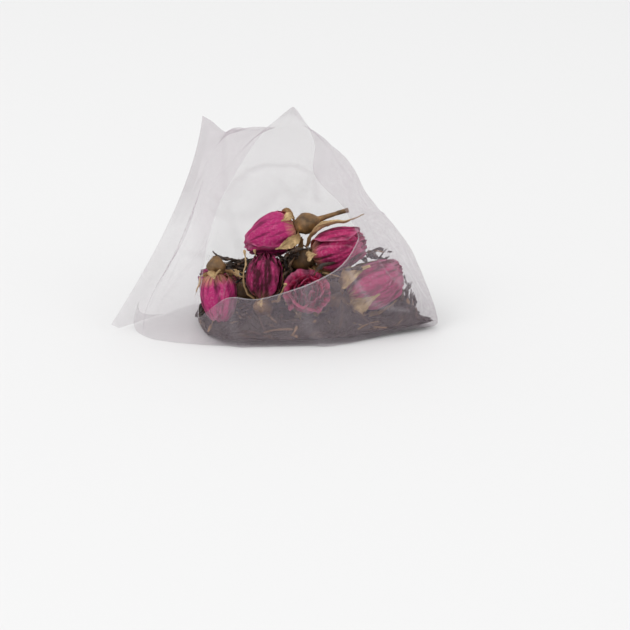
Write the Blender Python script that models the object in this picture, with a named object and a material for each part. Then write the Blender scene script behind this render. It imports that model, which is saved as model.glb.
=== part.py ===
"""A pyramid tea bag of white nylon mesh, its mouth open, filled with dried rosebuds and black tea.

The bag is one tube of mesh. One end is welded flat, down the bag's left edge. The other end, the
mouth, stands open as a tall drop with a peak at the top. Metres, +Z up, mouth towards -Y.
"""

import math

import bmesh
import bpy
from mathutils import Matrix, Vector, noise
from mathutils.bvhtree import BVHTree

# The bag: its overall size, and the sheet that it is made of
BAG_WIDTH = 0.093
BAG_DEPTH = 0.052
BAG_HEIGHT = 0.0655
MESH_THICKNESS = 0.0003
FIN_WIDTH = 0.003
CLEARANCE = 0.0003
DRAPE_ALLOWANCE = 0.0005
DRAPE_TURNS = 10
DRAPE_SPREAD = 0.9

# The rosebuds
BUD_DIAMETER = 0.0115
BUD_LENGTH = 0.0150
HIP_DIAMETER = 0.0062
HIP_LENGTH = 0.0076
STEM_DIAMETER = 0.0013
STEM_LENGTH = 0.0030
SEPAL_WIDTH = 0.0028
SEPAL_THICKNESS = 0.0004

# The black tea
BED_WIDTH = 0.0700
BED_HEIGHT = 0.0220
BED_RIM_HEIGHT = 0.0022
BED_WALL_GAP = 0.0012
BED_EDGE_LUMPS = 0.2
BED_LUMPS = 0.0016
BED_CLUMPS = 0.0009
BED_CLUMP_WIDTH = 0.0034
BED_SLOPE = 0.7
BED_REACH = 0.0015
BED_SIDES = 56
BED_RINGS = 12
BED_REACH_SIDES = 8
BED_MIDDLE = (0.10, -0.02, 0.0)
LEAF_THICKNESS = 0.0012
LEAF_LENGTH = 0.0120
LEAF_END_WIDTH = 0.25
LEAF_FLATNESS = 0.67
LEAF_TWIST = 2.4
LEAF_SIDES = 6
LEAF_STEPS = 8

# The mesh tube as closed loops of twelve places, from the weld to the mouth. Each place is given
# in shares of the bag's width, depth and height, from the middle of the base. In order: the peak,
# three down the left side, the left foot, three along the base or lower lip, the right foot, and
# three up the right side. The last loop is the mouth.
WELD_TOP = (-0.238, 0.270, 0.878)
WELD_BEND = (-0.262, 0.045, 0.560)
WELD_FOOT = (-0.525, -0.200, 0.010)
REAR_LOOP = (
    (-0.130, 0.225, 0.848), (-0.180, 0.160, 0.846), (-0.255, 0.110, 0.650),
    (-0.325, 0.000, 0.370), (-0.480, -0.150, 0.040), (-0.360, 0.080, 0.000),
    (-0.270, 0.260, 0.000), (-0.130, 0.370, 0.000), (0.020, 0.420, 0.020),
    (-0.010, 0.400, 0.260), (-0.070, 0.350, 0.540), (-0.110, 0.290, 0.760),
)
MIDDLE_LOOP = (
    (0.010, 0.090, 0.880), (-0.100, 0.000, 0.850), (-0.245, -0.060, 0.610),
    (-0.345, -0.150, 0.340), (-0.460, -0.250, 0.000), (-0.280, -0.200, 0.000),
    (0.000, -0.120, 0.000), (0.270, -0.100, 0.000), (0.470, -0.120, 0.010),
    (0.385, -0.030, 0.350), (0.262, 0.000, 0.565), (0.175, 0.050, 0.755),
)
FRONT_LOOP = (
    (0.022, 0.020, 0.950), (-0.095, -0.100, 0.870), (-0.220, -0.240, 0.635),
    (-0.290, -0.330, 0.400), (-0.400, -0.365, 0.000), (-0.240, -0.445, 0.000),
    (-0.020, -0.465, 0.000), (0.200, -0.440, 0.020), (0.360, -0.360, 0.190),
    (0.285, -0.260, 0.450), (0.180, -0.150, 0.640), (0.130, -0.060, 0.830),
)
MOUTH_LOOP = (
    (0.029, -0.040, 1.000), (-0.075, -0.190, 0.893), (-0.183, -0.340, 0.665),
    (-0.234, -0.430, 0.440), (-0.262, -0.462, 0.140), (-0.170, -0.520, 0.244),
    (-0.059, -0.535, 0.248), (0.150, -0.475, 0.350), (0.229, -0.385, 0.484),
    (0.177, -0.300, 0.612), (0.094, -0.200, 0.730), (0.094, -0.100, 0.863),
)
PLACES = 12
WELD_TOP_PLACE = 11
# How round the sheet runs through each place, from 0, a crease, to 1
ROUNDNESS = (0.25, 1, 0.5, 1, 0.4, 1, 1, 1, 0.4, 1, 1, 1)
PLACE_STEPS = 3
LOOP_STEPS = 5

# Half outline of a bud's petals, base to tip: share of the length, share of the half width
PETAL_OUTLINE = (
    (0.00, 0.30), (0.10, 0.68), (0.27, 0.94), (0.47, 1.00),
    (0.66, 0.94), (0.82, 0.76), (0.94, 0.50), (1.00, 0.24),
)
# Outline of a hip, from the stem to the petals: share of its length, share of its half width
HIP_OUTLINE = ((0.20, 0.62), (0.48, 0.98), (0.72, 0.92))
HIP_COLLAR_HEIGHT = 0.88
COLLAR_WIDTH = 1.35
STEM_FLARE = 1.2
TIP_MOUTH = 0.55
OPEN_BUD_HOLLOW = 0.1
OPEN_BUD_TOP = 0.90
OPEN_BUD_MOUTH = 0.8
PETAL_SIDES = 18
PETALS_ROUND = 3
PETAL_STEP = 0.12
PETAL_TWIST = 0.55
HIP_SIDES = 10
SEPALS = 5
# A sepal in steps from the hip along the petals: share of the length, share of the half width
SEPAL_OUTLINE = ((0.02, 0.42), (0.10, 0.74), (0.25, 0.97), (0.42, 1.04), (0.60, 1.02))
SEPAL_TIP_WIDTH = 0.18
SEPAL_TAPER = 1.6
SEPAL_CURL_LOSS = 0.5
SEPAL_CLASP_STEPS = 2
SEPAL_CLASP_SLOPE = -0.8

# The pile. A place is in bud diameters from the middle of the base. The fields are: name, middle of
# the petals, the way the tip points, size, the tip's hollow as a share of the length, roll in
# degrees, stem length as a multiple of the usual one, and how far each sepal curls out.
BUDS = (
    ("rear_bud", (0.40, 0.40, 0.90), (-0.86, 0.30, 0.20), 0.98, 0.06, 55, 0.2, (0, 0, 0, 0, 0)),
    ("back_left_bud", (-1.70, 0.22, 0.90), (-0.80, 0.50, 0.10), 0.92, 0.06, 15, 0.2, (0, 0, 0, 0, 0)),
    ("left_bud", (-1.64, -1.22, 0.98), (0.10, -0.30, -0.95), 0.95, 0.06, 20, 0.2, (0, 0, 0.2, 0.1, 0)),
    ("corner_bud", (2.36, -0.70, 1.20), (0.80, -0.15, 0.55), 1.20, 0.06, 30, 0.2, (0, 0.1, 0.1, 0, 0)),
    ("open_bud", (0.58, -1.44, 1.16), (0.12, -0.72, 0.66), 0.94, 0.35, 10, 0.2, (0, 0, 0, 0, 0)),
    ("middle_bud", (-0.48, -1.30, 1.62), (0.05, -0.12, 0.99), 0.96, 0.10, 0, 0.2, (0.1, 0, 0, 0.3, 0)),
    ("right_bud", (1.41, -0.52, 2.12), (0.90, -0.20, 0.40), 1.12, 0.06, 75, 0.3, (0.2, 0, 0.3, 0, 0)),
    ("top_bud", (-0.38, -0.16, 2.27), (-0.92, -0.12, -0.31), 1.05, 0.05, 40, 3.0, (0, 0.1, 0, 0, 0)),
)

# Twisted leaves that lie on the pile: the place that each falls from in bud diameters, heading and
# tilt in degrees, share of the usual length, and bend
LOOSE_LEAVES = (
    ((-1.18, -0.95, 2.05), 85, 12, 0.75, 0.20),
    ((1.85, 0.20, 1.50), 20, -8, 0.8, -0.15),
    ((-1.05, -0.62, 1.50), 60, 20, 0.9, 0.15),
    ((-1.45, -0.30, 1.60), -35, 5, 1.0, -0.20),
    ((1.05, -1.30, 1.60), 40, -15, 0.8, 0.20),
    ((-1.10, -1.62, 0.90), 95, 10, 0.8, -0.10),
    ((0.35, -0.86, 2.25), 30, 0, 0.7, 0.15),
    ((1.70, -1.20, 1.20), 120, 18, 0.9, -0.20),
    ((2.02, 0.02, 1.60), 110, -20, 0.8, 0.15),
    ((0.50, 0.60, 1.60), -20, 0, 1.1, 0.10),
)
LEAF_DROP = 0.0200
FINE_STEP = 0.0001


def in_bag(place):
    """A point given in shares of the bag's width, depth and height."""
    return Vector((place[0] * BAG_WIDTH, place[1] * BAG_DEPTH, place[2] * BAG_HEIGHT))


def in_pile(place):
    """A point given in bud diameters."""
    return Vector(place) * BUD_DIAMETER


def curve_point(before, start, end, after, share, start_round=1.0, end_round=1.0):
    """A point of the smooth curve from start to end, which the outer two points steer."""
    start_slope = (end - before) * 0.5 * start_round
    end_slope = (after - start) * 0.5 * end_round
    squared = share * share
    cubed = squared * share
    return (
        start * (2 * cubed - 3 * squared + 1)
        + start_slope * (cubed - 2 * squared + share)
        + end * (3 * squared - 2 * cubed)
        + end_slope * (cubed - squared)
    )


def smooth_loop(places):
    """A closed loop of places as a finer ring of points."""
    ring = []
    for i in range(PLACES):
        corners = [places[(i + k) % PLACES] for k in (-1, 0, 1, 2)]
        for step in range(PLACE_STEPS):
            share = step / PLACE_STEPS
            rounds = ROUNDNESS[i], ROUNDNESS[(i + 1) % PLACES]
            ring.append(curve_point(*corners, share, *rounds))
    return ring


def weld_share(place):
    """How far along the weld a place of the loop lies, from its top to its foot."""
    away = (place - WELD_TOP_PLACE) % PLACES
    return min(away, PLACES - away) * 2 / PLACES


def weld_point(share):
    """A point of the bent weld."""
    top, bend, foot = (in_bag(place) for place in (WELD_TOP, WELD_BEND, WELD_FOOT))
    return top.lerp(bend, share).lerp(bend.lerp(foot, share), share)


def weld_loop():
    """The loop squeezed flat at the weld, its two layers a sheet's thickness apart."""
    top, foot = in_bag(WELD_TOP), in_bag(WELD_FOOT)
    inwards = in_bag(MIDDLE_LOOP[0]) + in_bag(MIDDLE_LOOP[6]) - top - foot
    across = (foot - top).cross(inwards).normalized()
    ring = []
    for i in range(PLACES * PLACE_STEPS):
        place = i / PLACE_STEPS
        share = weld_share(place)
        under = (place - WELD_TOP_PLACE) % PLACES < PLACES / 2
        apart = 0.0 if share in (0.0, 1.0) else MESH_THICKNESS / 2
        ring.append(weld_point(share) + across * (apart if under else -apart))
    return ring


def fin_loop(weld, rear):
    """The free edge of the fin, which lies beyond the weld."""
    middle = sum(rear, Vector()) / len(rear)
    along = (in_bag(WELD_FOOT) - in_bag(WELD_TOP)).normalized()
    outwards = sum(weld, Vector()) / len(weld) - middle
    outwards -= along * outwards.dot(along)
    return [point + outwards.normalized() * FIN_WIDTH for point in weld]


def sheet_rings():
    """The middle of the sheet as rings of points, from the weld to the mouth."""
    loops = REAR_LOOP, MIDDLE_LOOP, FRONT_LOOP, MOUTH_LOOP
    keys = [weld_loop()] + [smooth_loop([in_bag(place) for place in loop]) for loop in loops]
    rings = []
    for i in range(len(keys) - 1):
        before = keys[max(i - 1, 0)]
        after = keys[min(i + 2, len(keys) - 1)]
        for step in range(LOOP_STEPS):
            share = step / LOOP_STEPS
            rings.append([
                curve_point(*corners, share)
                for corners in zip(before, keys[i], keys[i + 1], after)
            ])
    rings.append(keys[-1])
    return rings


def sheet_normals(rings):
    """The outward direction of the sheet at each of its points."""
    normals = []
    last = len(rings) - 1
    for j, ring in enumerate(rings):
        row = []
        for i in range(len(ring)):
            round_it = ring[(i + 1) % len(ring)] - ring[i - 1]
            along = rings[min(j + 1, last)][i] - rings[max(j - 1, 0)][i]
            row.append(round_it.cross(along).normalized())
        normals.append(row)
    return normals


def hull_of(objects):
    """The convex hull of some pieces, in world places, as a tree to search."""
    bm = bmesh.new()
    for obj in objects:
        for vertex in obj.data.vertices:
            bm.verts.new(obj.matrix_world @ vertex.co)
    bmesh.ops.convex_hull(bm, input=bm.verts)
    bmesh.ops.delete(bm, geom=[v for v in bm.verts if not v.link_faces], context="VERTS")
    bmesh.ops.recalc_face_normals(bm, faces=bm.faces)
    tree = BVHTree.FromBMesh(bm)
    bm.free()
    return tree


def signed_distance(tree, point):
    """How far a point lies outside a convex hull, negative inside it."""
    found, facing, _, away = tree.find_nearest(point)
    return away if (point - found).dot(facing) > 0 else -away


def neighbours_mean(lifts, j, i):
    """The mean lift of the sheet points round one."""
    row = lifts[j]
    beside = [row[i - 1], row[(i + 1) % len(row)]]
    beside += [lifts[k][i] for k in (j - 1, j + 1) if 0 < k < len(lifts)]
    return sum(beside) / len(beside)


def drape(rings, hulls):
    """Lifts the sheet off the contents, and spreads each lift over the sheet round it."""
    keep_off = MESH_THICKNESS / 2 + CLEARANCE + DRAPE_ALLOWANCE
    normals = sheet_normals(rings)
    lifts = [[0.0] * len(ring) for ring in rings]
    for turn in range(DRAPE_TURNS):
        for j in range(1, len(rings)):
            for i, outwards in enumerate(normals[j]):
                lift = lifts[j][i]
                if turn < DRAPE_TURNS // 2:
                    lift = max(lift, neighbours_mean(lifts, j, i) * DRAPE_SPREAD)
                point = rings[j][i] + outwards * lift
                nearest = min(signed_distance(hull, point) for hull in hulls)
                lifts[j][i] = lift + max(0.0, keep_off - nearest)
    return [
        [point + outwards * lift for point, outwards, lift in zip(*rows)]
        for rows in zip(rings, normals, lifts)
    ]


def resting(points, floor):
    """The points with none below the floor, so that the sheet lies flat on it."""
    return [Vector((p.x, p.y, max(p.z, floor))) for p in points]


def offset_rings(rings, normals, distance, floor):
    """The rings moved along the sheet's normals."""
    return [
        resting([p + n * distance for p, n in zip(ring, row)], floor)
        for ring, row in zip(rings, normals)
    ]


def new_object(name, mesh, material):
    """A mesh as a named object with its material."""
    mesh.materials.append(material)
    obj = bpy.data.objects.new(name, mesh)
    bpy.context.scene.collection.objects.link(obj)
    return obj


def plain_material(name, colour, roughness, alpha=1.0):
    """A material of one colour."""
    material = bpy.data.materials.new(name)
    material.use_nodes = True
    shader = material.node_tree.nodes["Principled BSDF"]
    shader.inputs["Base Color"].default_value = (*colour, 1.0)
    shader.inputs["Roughness"].default_value = roughness
    shader.inputs["Metallic"].default_value = 0.0
    shader.inputs["Alpha"].default_value = alpha
    return material


def bridge(bm, first, second):
    """Quads between two rings of as many vertices."""
    count = len(first)
    for i in range(count):
        k = (i + 1) % count
        bm.faces.new((first[i], first[k], second[k], second[i]))


def tidy_mesh(bm, name, sharp_degrees):
    """A bmesh as a smooth-shaded mesh with its faces pointing out."""
    bmesh.ops.recalc_face_normals(bm, faces=bm.faces)
    mesh = bpy.data.meshes.new(name)
    bm.to_mesh(mesh)
    bm.free()
    mesh.shade_smooth()
    mesh.set_sharp_from_angle(angle=math.radians(sharp_degrees))
    return mesh


def make_bag(hulls, material):
    """The mesh bag: an outer and an inner skin, joined at the mouth and round the fin."""
    half = MESH_THICKNESS / 2
    rings = drape(sheet_rings(), hulls)
    normals = sheet_normals(rings)
    outer = offset_rings(rings, normals, half, 0.0)
    inner = offset_rings(rings, normals, -half, MESH_THICKNESS)
    outer.insert(0, fin_loop(outer[0], rings[LOOP_STEPS]))
    count = len(outer[0])
    top = WELD_TOP_PLACE * PLACE_STEPS
    bm = bmesh.new()
    outer_verts = [[bm.verts.new(p) for p in ring] for ring in outer]
    inset = MESH_THICKNESS / (in_bag(WELD_FOOT) - in_bag(WELD_TOP)).length
    weld_verts = {}
    for i in range(count):
        share = weld_share(i / PLACE_STEPS)
        if share not in weld_verts:
            weld_verts[share] = bm.verts.new(weld_point(inset + share * (1 - 2 * inset)))
    inner_verts = [[weld_verts[weld_share(i / PLACE_STEPS)] for i in range(count)]]
    inner_verts += [[bm.verts.new(p) for p in ring] for ring in inner[1:]]
    for skin in (outer_verts, inner_verts):
        for first, second in zip(skin, skin[1:]):
            bridge(bm, first, second)
    bridge(bm, outer_verts[-1], inner_verts[-1])
    fin = outer_verts[0]
    for step in range(count // 2):
        corners = [fin[(top + k) % count] for k in (step, step + 1, -step - 1, -step)]
        bm.faces.new(list(dict.fromkeys(corners)))
    return new_object("mesh_bag", tidy_mesh(bm, "mesh_bag", 60), material)


def outline_at(share):
    """Half width of a bud's petals, as a share, at a share of their length."""
    for (low, low_width), (high, high_width) in zip(PETAL_OUTLINE, PETAL_OUTLINE[1:]):
        if share <= high:
            return low_width + (high_width - low_width) * (share - low) / (high - low)
    return PETAL_OUTLINE[-1][1]


def petal_ring(share, width, half_width, length, hollow=0.0):
    """One ring of the petals: each petal's free edge stands proud of the next one."""
    ring = []
    for i in range(PETAL_SIDES):
        turn = i / PETAL_SIDES
        under = (turn * PETALS_ROUND + PETAL_TWIST * share) % 1.0
        radius = half_width * width * (1 - PETAL_STEP * under * math.sin(math.pi * min(share, 1.0)) ** 0.5)
        angle = 2 * math.pi * turn
        ring.append(Vector((radius * math.cos(angle), radius * math.sin(angle), length * (share - hollow))))
    return ring


def make_petals(name, size, hollow, material):
    """The wrapped petals of one bud, base at the origin and tip up."""
    half_width = size * BUD_DIAMETER / 2
    length = size * BUD_LENGTH
    bm = bmesh.new()
    rings = [petal_ring(share, width, half_width, length) for share, width in PETAL_OUTLINE]
    tip_width = PETAL_OUTLINE[-1][1]
    if hollow > OPEN_BUD_HOLLOW:
        rings = rings[:-2]
        tip_width = PETAL_OUTLINE[-3][1] * OPEN_BUD_MOUTH
        rings.append(petal_ring(OPEN_BUD_TOP, tip_width, half_width, length))
    rings.append(petal_ring(1.0, tip_width * TIP_MOUTH, half_width, length, hollow))
    verts = [[bm.verts.new(p) for p in ring] for ring in rings]
    for first, second in zip(verts, verts[1:]):
        bridge(bm, first, second)
    bm.faces.new(verts[0])
    bm.faces.new(verts[-1])
    return new_object(name, tidy_mesh(bm, name, 40), material)


def sepal_path(curl, half_width, length):
    """Inner and outer edge of a sepal, in steps from the hip along the petals: radius and height."""
    path = []
    for i, (share, width) in enumerate(SEPAL_OUTLINE):
        radius = half_width * max(width, outline_at(share)) + CLEARANCE
        out = curl * length * (i / len(SEPAL_OUTLINE)) ** 2
        slant = Vector((1, SEPAL_CLASP_SLOPE if i < SEPAL_CLASP_STEPS else 0))
        inner = Vector((radius + out, length * share * (1 - curl * SEPAL_CURL_LOSS)))
        if i == 0:
            inner.y -= CLEARANCE * 2
        path.append((inner, inner + slant.normalized() * SEPAL_THICKNESS))
    return path


def make_calyx(name, size, stem, curls, material):
    """The green parts of one bud: stem, round hip, and five sepals that clasp the petals."""
    half_width = size * BUD_DIAMETER / 2
    length = size * BUD_LENGTH
    hip_half = size * HIP_DIAMETER / 2
    hip_length = size * HIP_LENGTH
    collar = half_width * PETAL_OUTLINE[0][1] * COLLAR_WIDTH
    top = -CLEARANCE
    stem_half = STEM_DIAMETER / 2
    foot = top - hip_length
    outline = [
        (stem_half * STEM_FLARE, foot - stem * STEM_LENGTH),
        (stem_half, foot - stem * STEM_LENGTH / 2),
        (stem_half * STEM_FLARE, foot),
    ]
    outline += [(hip_half * width, foot + hip_length * share) for share, width in HIP_OUTLINE]
    outline += [(collar, foot + hip_length * HIP_COLLAR_HEIGHT), (collar, top)]
    bm = bmesh.new()
    rings = []
    for radius, height in outline:
        angles = [2 * math.pi * i / HIP_SIDES for i in range(HIP_SIDES)]
        rings.append([bm.verts.new((radius * math.cos(a), radius * math.sin(a), height)) for a in angles])
    for first, second in zip(rings, rings[1:]):
        bridge(bm, first, second)
    bm.faces.new(rings[0])
    bm.faces.new(rings[-1])
    bm.verts.index_update()
    bmesh.ops.recalc_face_normals(bm, faces=bm.faces)
    for i in range(SEPALS):
        grow_sepal(bm, rings[-2], rings[-1], 2 * i, sepal_path(curls[i], half_width, length), size)
    return new_object(name, tidy_mesh(bm, name, 50), material)


def grow_sepal(bm, lower, upper, side, path, size):
    """Extrudes one face of the hip's collar along the path of a sepal, out to its tip."""
    k = (side + 1) % HIP_SIDES
    corners = [lower[side], lower[k], upper[k], upper[side]]
    face = next(f for f in corners[0].link_faces if all(v in f.verts for v in corners))
    angle = 2 * math.pi * (side + 0.5) / HIP_SIDES
    outwards = Vector((math.cos(angle), math.sin(angle), 0))
    sideways = Vector((-math.sin(angle), math.cos(angle), 0))
    last = len(path) - 1
    for i, (inner, outer) in enumerate(path):
        half = size * SEPAL_WIDTH / 2 * (1 - (1 - SEPAL_TIP_WIDTH) * (i / last) ** SEPAL_TAPER)
        made = bmesh.ops.extrude_discrete_faces(bm, faces=[face])["faces"][0]
        by_height = sorted(made.verts, key=lambda v: v.co.z)
        for v in made.verts:
            radius, height = outer if v in by_height[:2] else inner
            across = half if v.co.dot(sideways) > 0 else -half
            v.co = outwards * radius + sideways * across + Vector((0, 0, height))
        face = made


def pose(obj, middle, points_to, roll, length):
    """Turns a bud so that its tip points the given way, about the middle of its petals."""
    turn = Vector(points_to).normalized().to_track_quat("Z", "Y").to_matrix().to_4x4()
    spin = Matrix.Rotation(math.radians(roll), 4, "Z")
    lift = Matrix.Translation((0, 0, -length / 2))
    obj.matrix_world = Matrix.Translation(middle) @ turn @ spin @ lift


def surface_of(objects):
    """All the faces of the objects, in world places, as one tree to search."""
    points, faces = [], []
    for obj in objects:
        start = len(points)
        points += [obj.matrix_world @ v.co for v in obj.data.vertices]
        faces += [[start + i for i in face.vertices] for face in obj.data.polygons]
    return BVHTree.FromPolygons(points, faces)


def move_up(objects, distance):
    for obj in objects:
        obj.matrix_world = Matrix.Translation((0, 0, distance)) @ obj.matrix_world


def settle(objects, placed, drop=0.0):
    """Lowers pieces onto what is placed, by no more than the drop, or raises them until they clear it."""
    below = surface_of(placed)
    fallen = 0.0
    while fallen < drop and not surface_of(objects).overlap(below):
        move_up(objects, -FINE_STEP)
        fallen += FINE_STEP
    if surface_of(objects).overlap(below):
        while surface_of(objects).overlap(below):
            move_up(objects, FINE_STEP)
        move_up(objects, CLEARANCE)


def make_buds(petal_material, calyx_material):
    """The rosebuds of the pile, each a petals piece and a calyx piece, from the lowest one up."""
    made = []
    for name, middle, points_to, size, hollow, roll, stem, curls in BUDS:
        petals = make_petals(f"{name}_petals", size, hollow, petal_material)
        calyx = make_calyx(f"{name}_calyx", size, stem, curls, calyx_material)
        for piece in (petals, calyx):
            pose(piece, in_pile(middle), points_to, roll, size * BUD_LENGTH)
        if made:
            settle([petals, calyx], made)
        made += [petals, calyx]
    return made


def nearest_height(place, trees, way):
    """The height of the nearest surface straight up or down from a place in the bag."""
    hits = [tree.ray_cast(place, Vector((0, 0, way)))[0] for tree in trees]
    heights = [hit.z for hit in hits if hit]
    if way > 0:
        return min(heights, default=BAG_HEIGHT)
    return max(heights, default=0.0)


def bed_plan(bag_tree):
    """The plan of the bed: rings of places, from its edge or just inside the bag's walls to the middle."""
    middle = in_bag(BED_MIDDLE) + Vector((0, 0, BED_RIM_HEIGHT))
    rings = [[] for _ in range(BED_RINGS)]
    for i in range(BED_SIDES):
        angle = 2 * math.pi * i / BED_SIDES
        way = Vector((math.cos(angle), math.sin(angle), 0))
        reach = min(bag_tree.ray_cast(middle, way)[3] - BED_WALL_GAP, BED_WIDTH / 2)
        for j in range(BED_RINGS):
            rings[j].append(middle + way * reach * (1 - j / BED_RINGS))
    return rings


def heights_round(place, trees, way):
    """The surface heights over or under a place and the places round it."""
    spots = [place]
    for i in range(BED_REACH_SIDES):
        angle = 2 * math.pi * i / BED_REACH_SIDES
        spots.append(place + Vector((math.cos(angle), math.sin(angle), 0)) * BED_REACH)
    return [nearest_height(spot, trees, way) for spot in spots]


def around(grid, j, i):
    """The values at one place of the plan and at the places round it."""
    rows = grid[max(j - 1, 0):j + 2]
    return [row[(i + k) % BED_SIDES] for row in rows for k in (-1, 0, 1)]


def heap_height(place, share):
    """The height of the loose tea before the buds press into it, at a share of the way out."""
    rise = math.cos(share * math.pi / 2) ** BED_SLOPE
    lump = BED_LUMPS * noise.noise(place / (2 * BED_LUMPS))
    lump += BED_CLUMPS * noise.noise(place / BED_CLUMP_WIDTH)
    return BED_RIM_HEIGHT + (BED_HEIGHT - BED_RIM_HEIGHT) * rise + lump * (1 + BED_EDGE_LUMPS - share)


def make_bed(bag, hulls, material):
    """The heap of tea leaves, moulded to the undersides of the buds and to the bag's walls."""
    bag_tree = surface_of([bag])
    plan = bed_plan(bag_tree)
    floors = [[max(heights_round(p, [bag_tree], -1)) for p in ring] for ring in plan]
    roofs = [[min(heights_round(p, [bag_tree], 1)) for p in ring] for ring in plan]
    on_floor = [[Vector((p.x, p.y, 0)) for p in ring] for ring in plan]
    buds = [[min(heights_round(p, hulls, 1)) for p in ring] for ring in on_floor]
    bm = bmesh.new()
    upper, lower = [], []
    for j, ring in enumerate(plan):
        tops, undersides = [], []
        for i, place in enumerate(ring):
            underside = max(around(floors, j, i)) + CLEARANCE
            ceiling = min(around(roofs, j, i) + around(buds, j, i)) - CLEARANCE
            top = max(min(heap_height(place, 1 - j / BED_RINGS), ceiling), underside + CLEARANCE)
            tops.append(bm.verts.new((place.x, place.y, top)))
            undersides.append(bm.verts.new((place.x, place.y, underside)))
        upper.append(tops)
        lower.insert(0, undersides)
    rings = lower + upper
    for first, second in zip(rings, rings[1:]):
        bridge(bm, first, second)
    bm.faces.new(rings[0])
    bm.faces.new(rings[-1])
    return new_object("tea_leaf_bed", tidy_mesh(bm, "tea_leaf_bed", 60), material)


def make_leaf(name, share, bend, material):
    """One twisted leaf: a flattened rod with pointed ends, bent and turned along its length."""
    bm = bmesh.new()
    rings = []
    for j in range(LEAF_STEPS + 1):
        along = j / LEAF_STEPS
        half = LEAF_THICKNESS / 2 * (LEAF_END_WIDTH + (1 - LEAF_END_WIDTH) * math.sin(math.pi * along))
        twist = LEAF_TWIST * along
        middle = Vector((
            share * LEAF_LENGTH * (along - 0.5), bend * LEAF_LENGTH * math.sin(math.pi * along), 0))
        ring = []
        for i in range(LEAF_SIDES):
            angle = 2 * math.pi * i / LEAF_SIDES
            spot = Vector((0, half * math.cos(angle), half * LEAF_FLATNESS * math.sin(angle)))
            ring.append(bm.verts.new(middle + Matrix.Rotation(twist, 3, "X") @ spot))
        rings.append(ring)
    for first, second in zip(rings, rings[1:]):
        bridge(bm, first, second)
    bm.faces.new(rings[0])
    bm.faces.new(rings[-1])
    return new_object(name, tidy_mesh(bm, name, 60), material)


def make_leaves(pile, material):
    """The loose leaves on top of the pile, each laid on what is under it."""
    made = []
    for i, (place, heading, tilt, share, bend) in enumerate(LOOSE_LEAVES):
        leaf = make_leaf(f"tea_leaf_{i + 1}", share, bend, material)
        turn = Matrix.Rotation(math.radians(heading), 4, "Z") @ Matrix.Rotation(math.radians(tilt), 4, "Y")
        leaf.matrix_world = Matrix.Translation(in_pile(place)) @ turn
        settle([leaf], pile + made, LEAF_DROP)
        made.append(leaf)
    return made


def remove_all_objects():
    for obj in list(bpy.data.objects):
        bpy.data.objects.remove(obj)


def main():
    remove_all_objects()
    mesh_material = plain_material("white_nylon_mesh", (0.86, 0.84, 0.86), 0.55, 0.45)
    petal_material = plain_material("dried_petals", (0.42, 0.03, 0.16), 0.7)
    calyx_material = plain_material("dried_calyx", (0.36, 0.24, 0.11), 0.75)
    tea_material = plain_material("black_tea", (0.035, 0.022, 0.016), 0.8)
    buds = make_buds(petal_material, calyx_material)
    hulls = [hull_of(buds[i:i + 2]) for i in range(0, len(buds), 2)]
    bag = make_bag(hulls, mesh_material)
    bed = make_bed(bag, hulls, tea_material)
    make_leaves([*buds, bed], tea_material)


main()
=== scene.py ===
"""The looks of an open pyramid tea bag: white nylon mesh round dried rosebuds and black tea.

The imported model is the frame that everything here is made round. Metres, +Z up, and the open mouth
of the bag towards -Y.
"""

import itertools
import math
import random
from collections import namedtuple

import bmesh
import bpy
import numpy as np
from bpy.props import FloatProperty, FloatVectorProperty, IntProperty, PointerProperty
from mathutils import Matrix, Vector, noise
from mathutils.bvhtree import BVHTree


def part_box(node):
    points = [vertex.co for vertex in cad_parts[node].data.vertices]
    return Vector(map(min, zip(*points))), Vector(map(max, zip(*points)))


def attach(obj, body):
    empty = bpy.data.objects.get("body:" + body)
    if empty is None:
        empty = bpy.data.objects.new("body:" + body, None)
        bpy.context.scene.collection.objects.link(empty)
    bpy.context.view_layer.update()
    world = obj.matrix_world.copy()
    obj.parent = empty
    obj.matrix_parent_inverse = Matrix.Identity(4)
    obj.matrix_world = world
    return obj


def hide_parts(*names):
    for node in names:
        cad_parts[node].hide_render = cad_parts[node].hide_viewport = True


bl_info = {
    "name": "Pyramid Tea Bag",
    "version": (1, 0, 0),
    "blender": (4, 5, 0),
    "location": "View3D > Sidebar > Tea Bag",
    "description": "Dresses an open mesh tea bag with dried rosebuds and black tea",
    "category": "Add Mesh",
}

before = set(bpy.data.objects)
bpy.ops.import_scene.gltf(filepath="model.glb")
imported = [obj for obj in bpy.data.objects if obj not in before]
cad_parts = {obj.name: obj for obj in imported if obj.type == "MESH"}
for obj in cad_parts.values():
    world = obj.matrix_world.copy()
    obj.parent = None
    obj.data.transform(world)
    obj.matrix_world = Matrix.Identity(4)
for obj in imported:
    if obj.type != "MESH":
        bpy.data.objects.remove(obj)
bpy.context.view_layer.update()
BAG_LOW, BAG_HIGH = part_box("mesh_bag")

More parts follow.
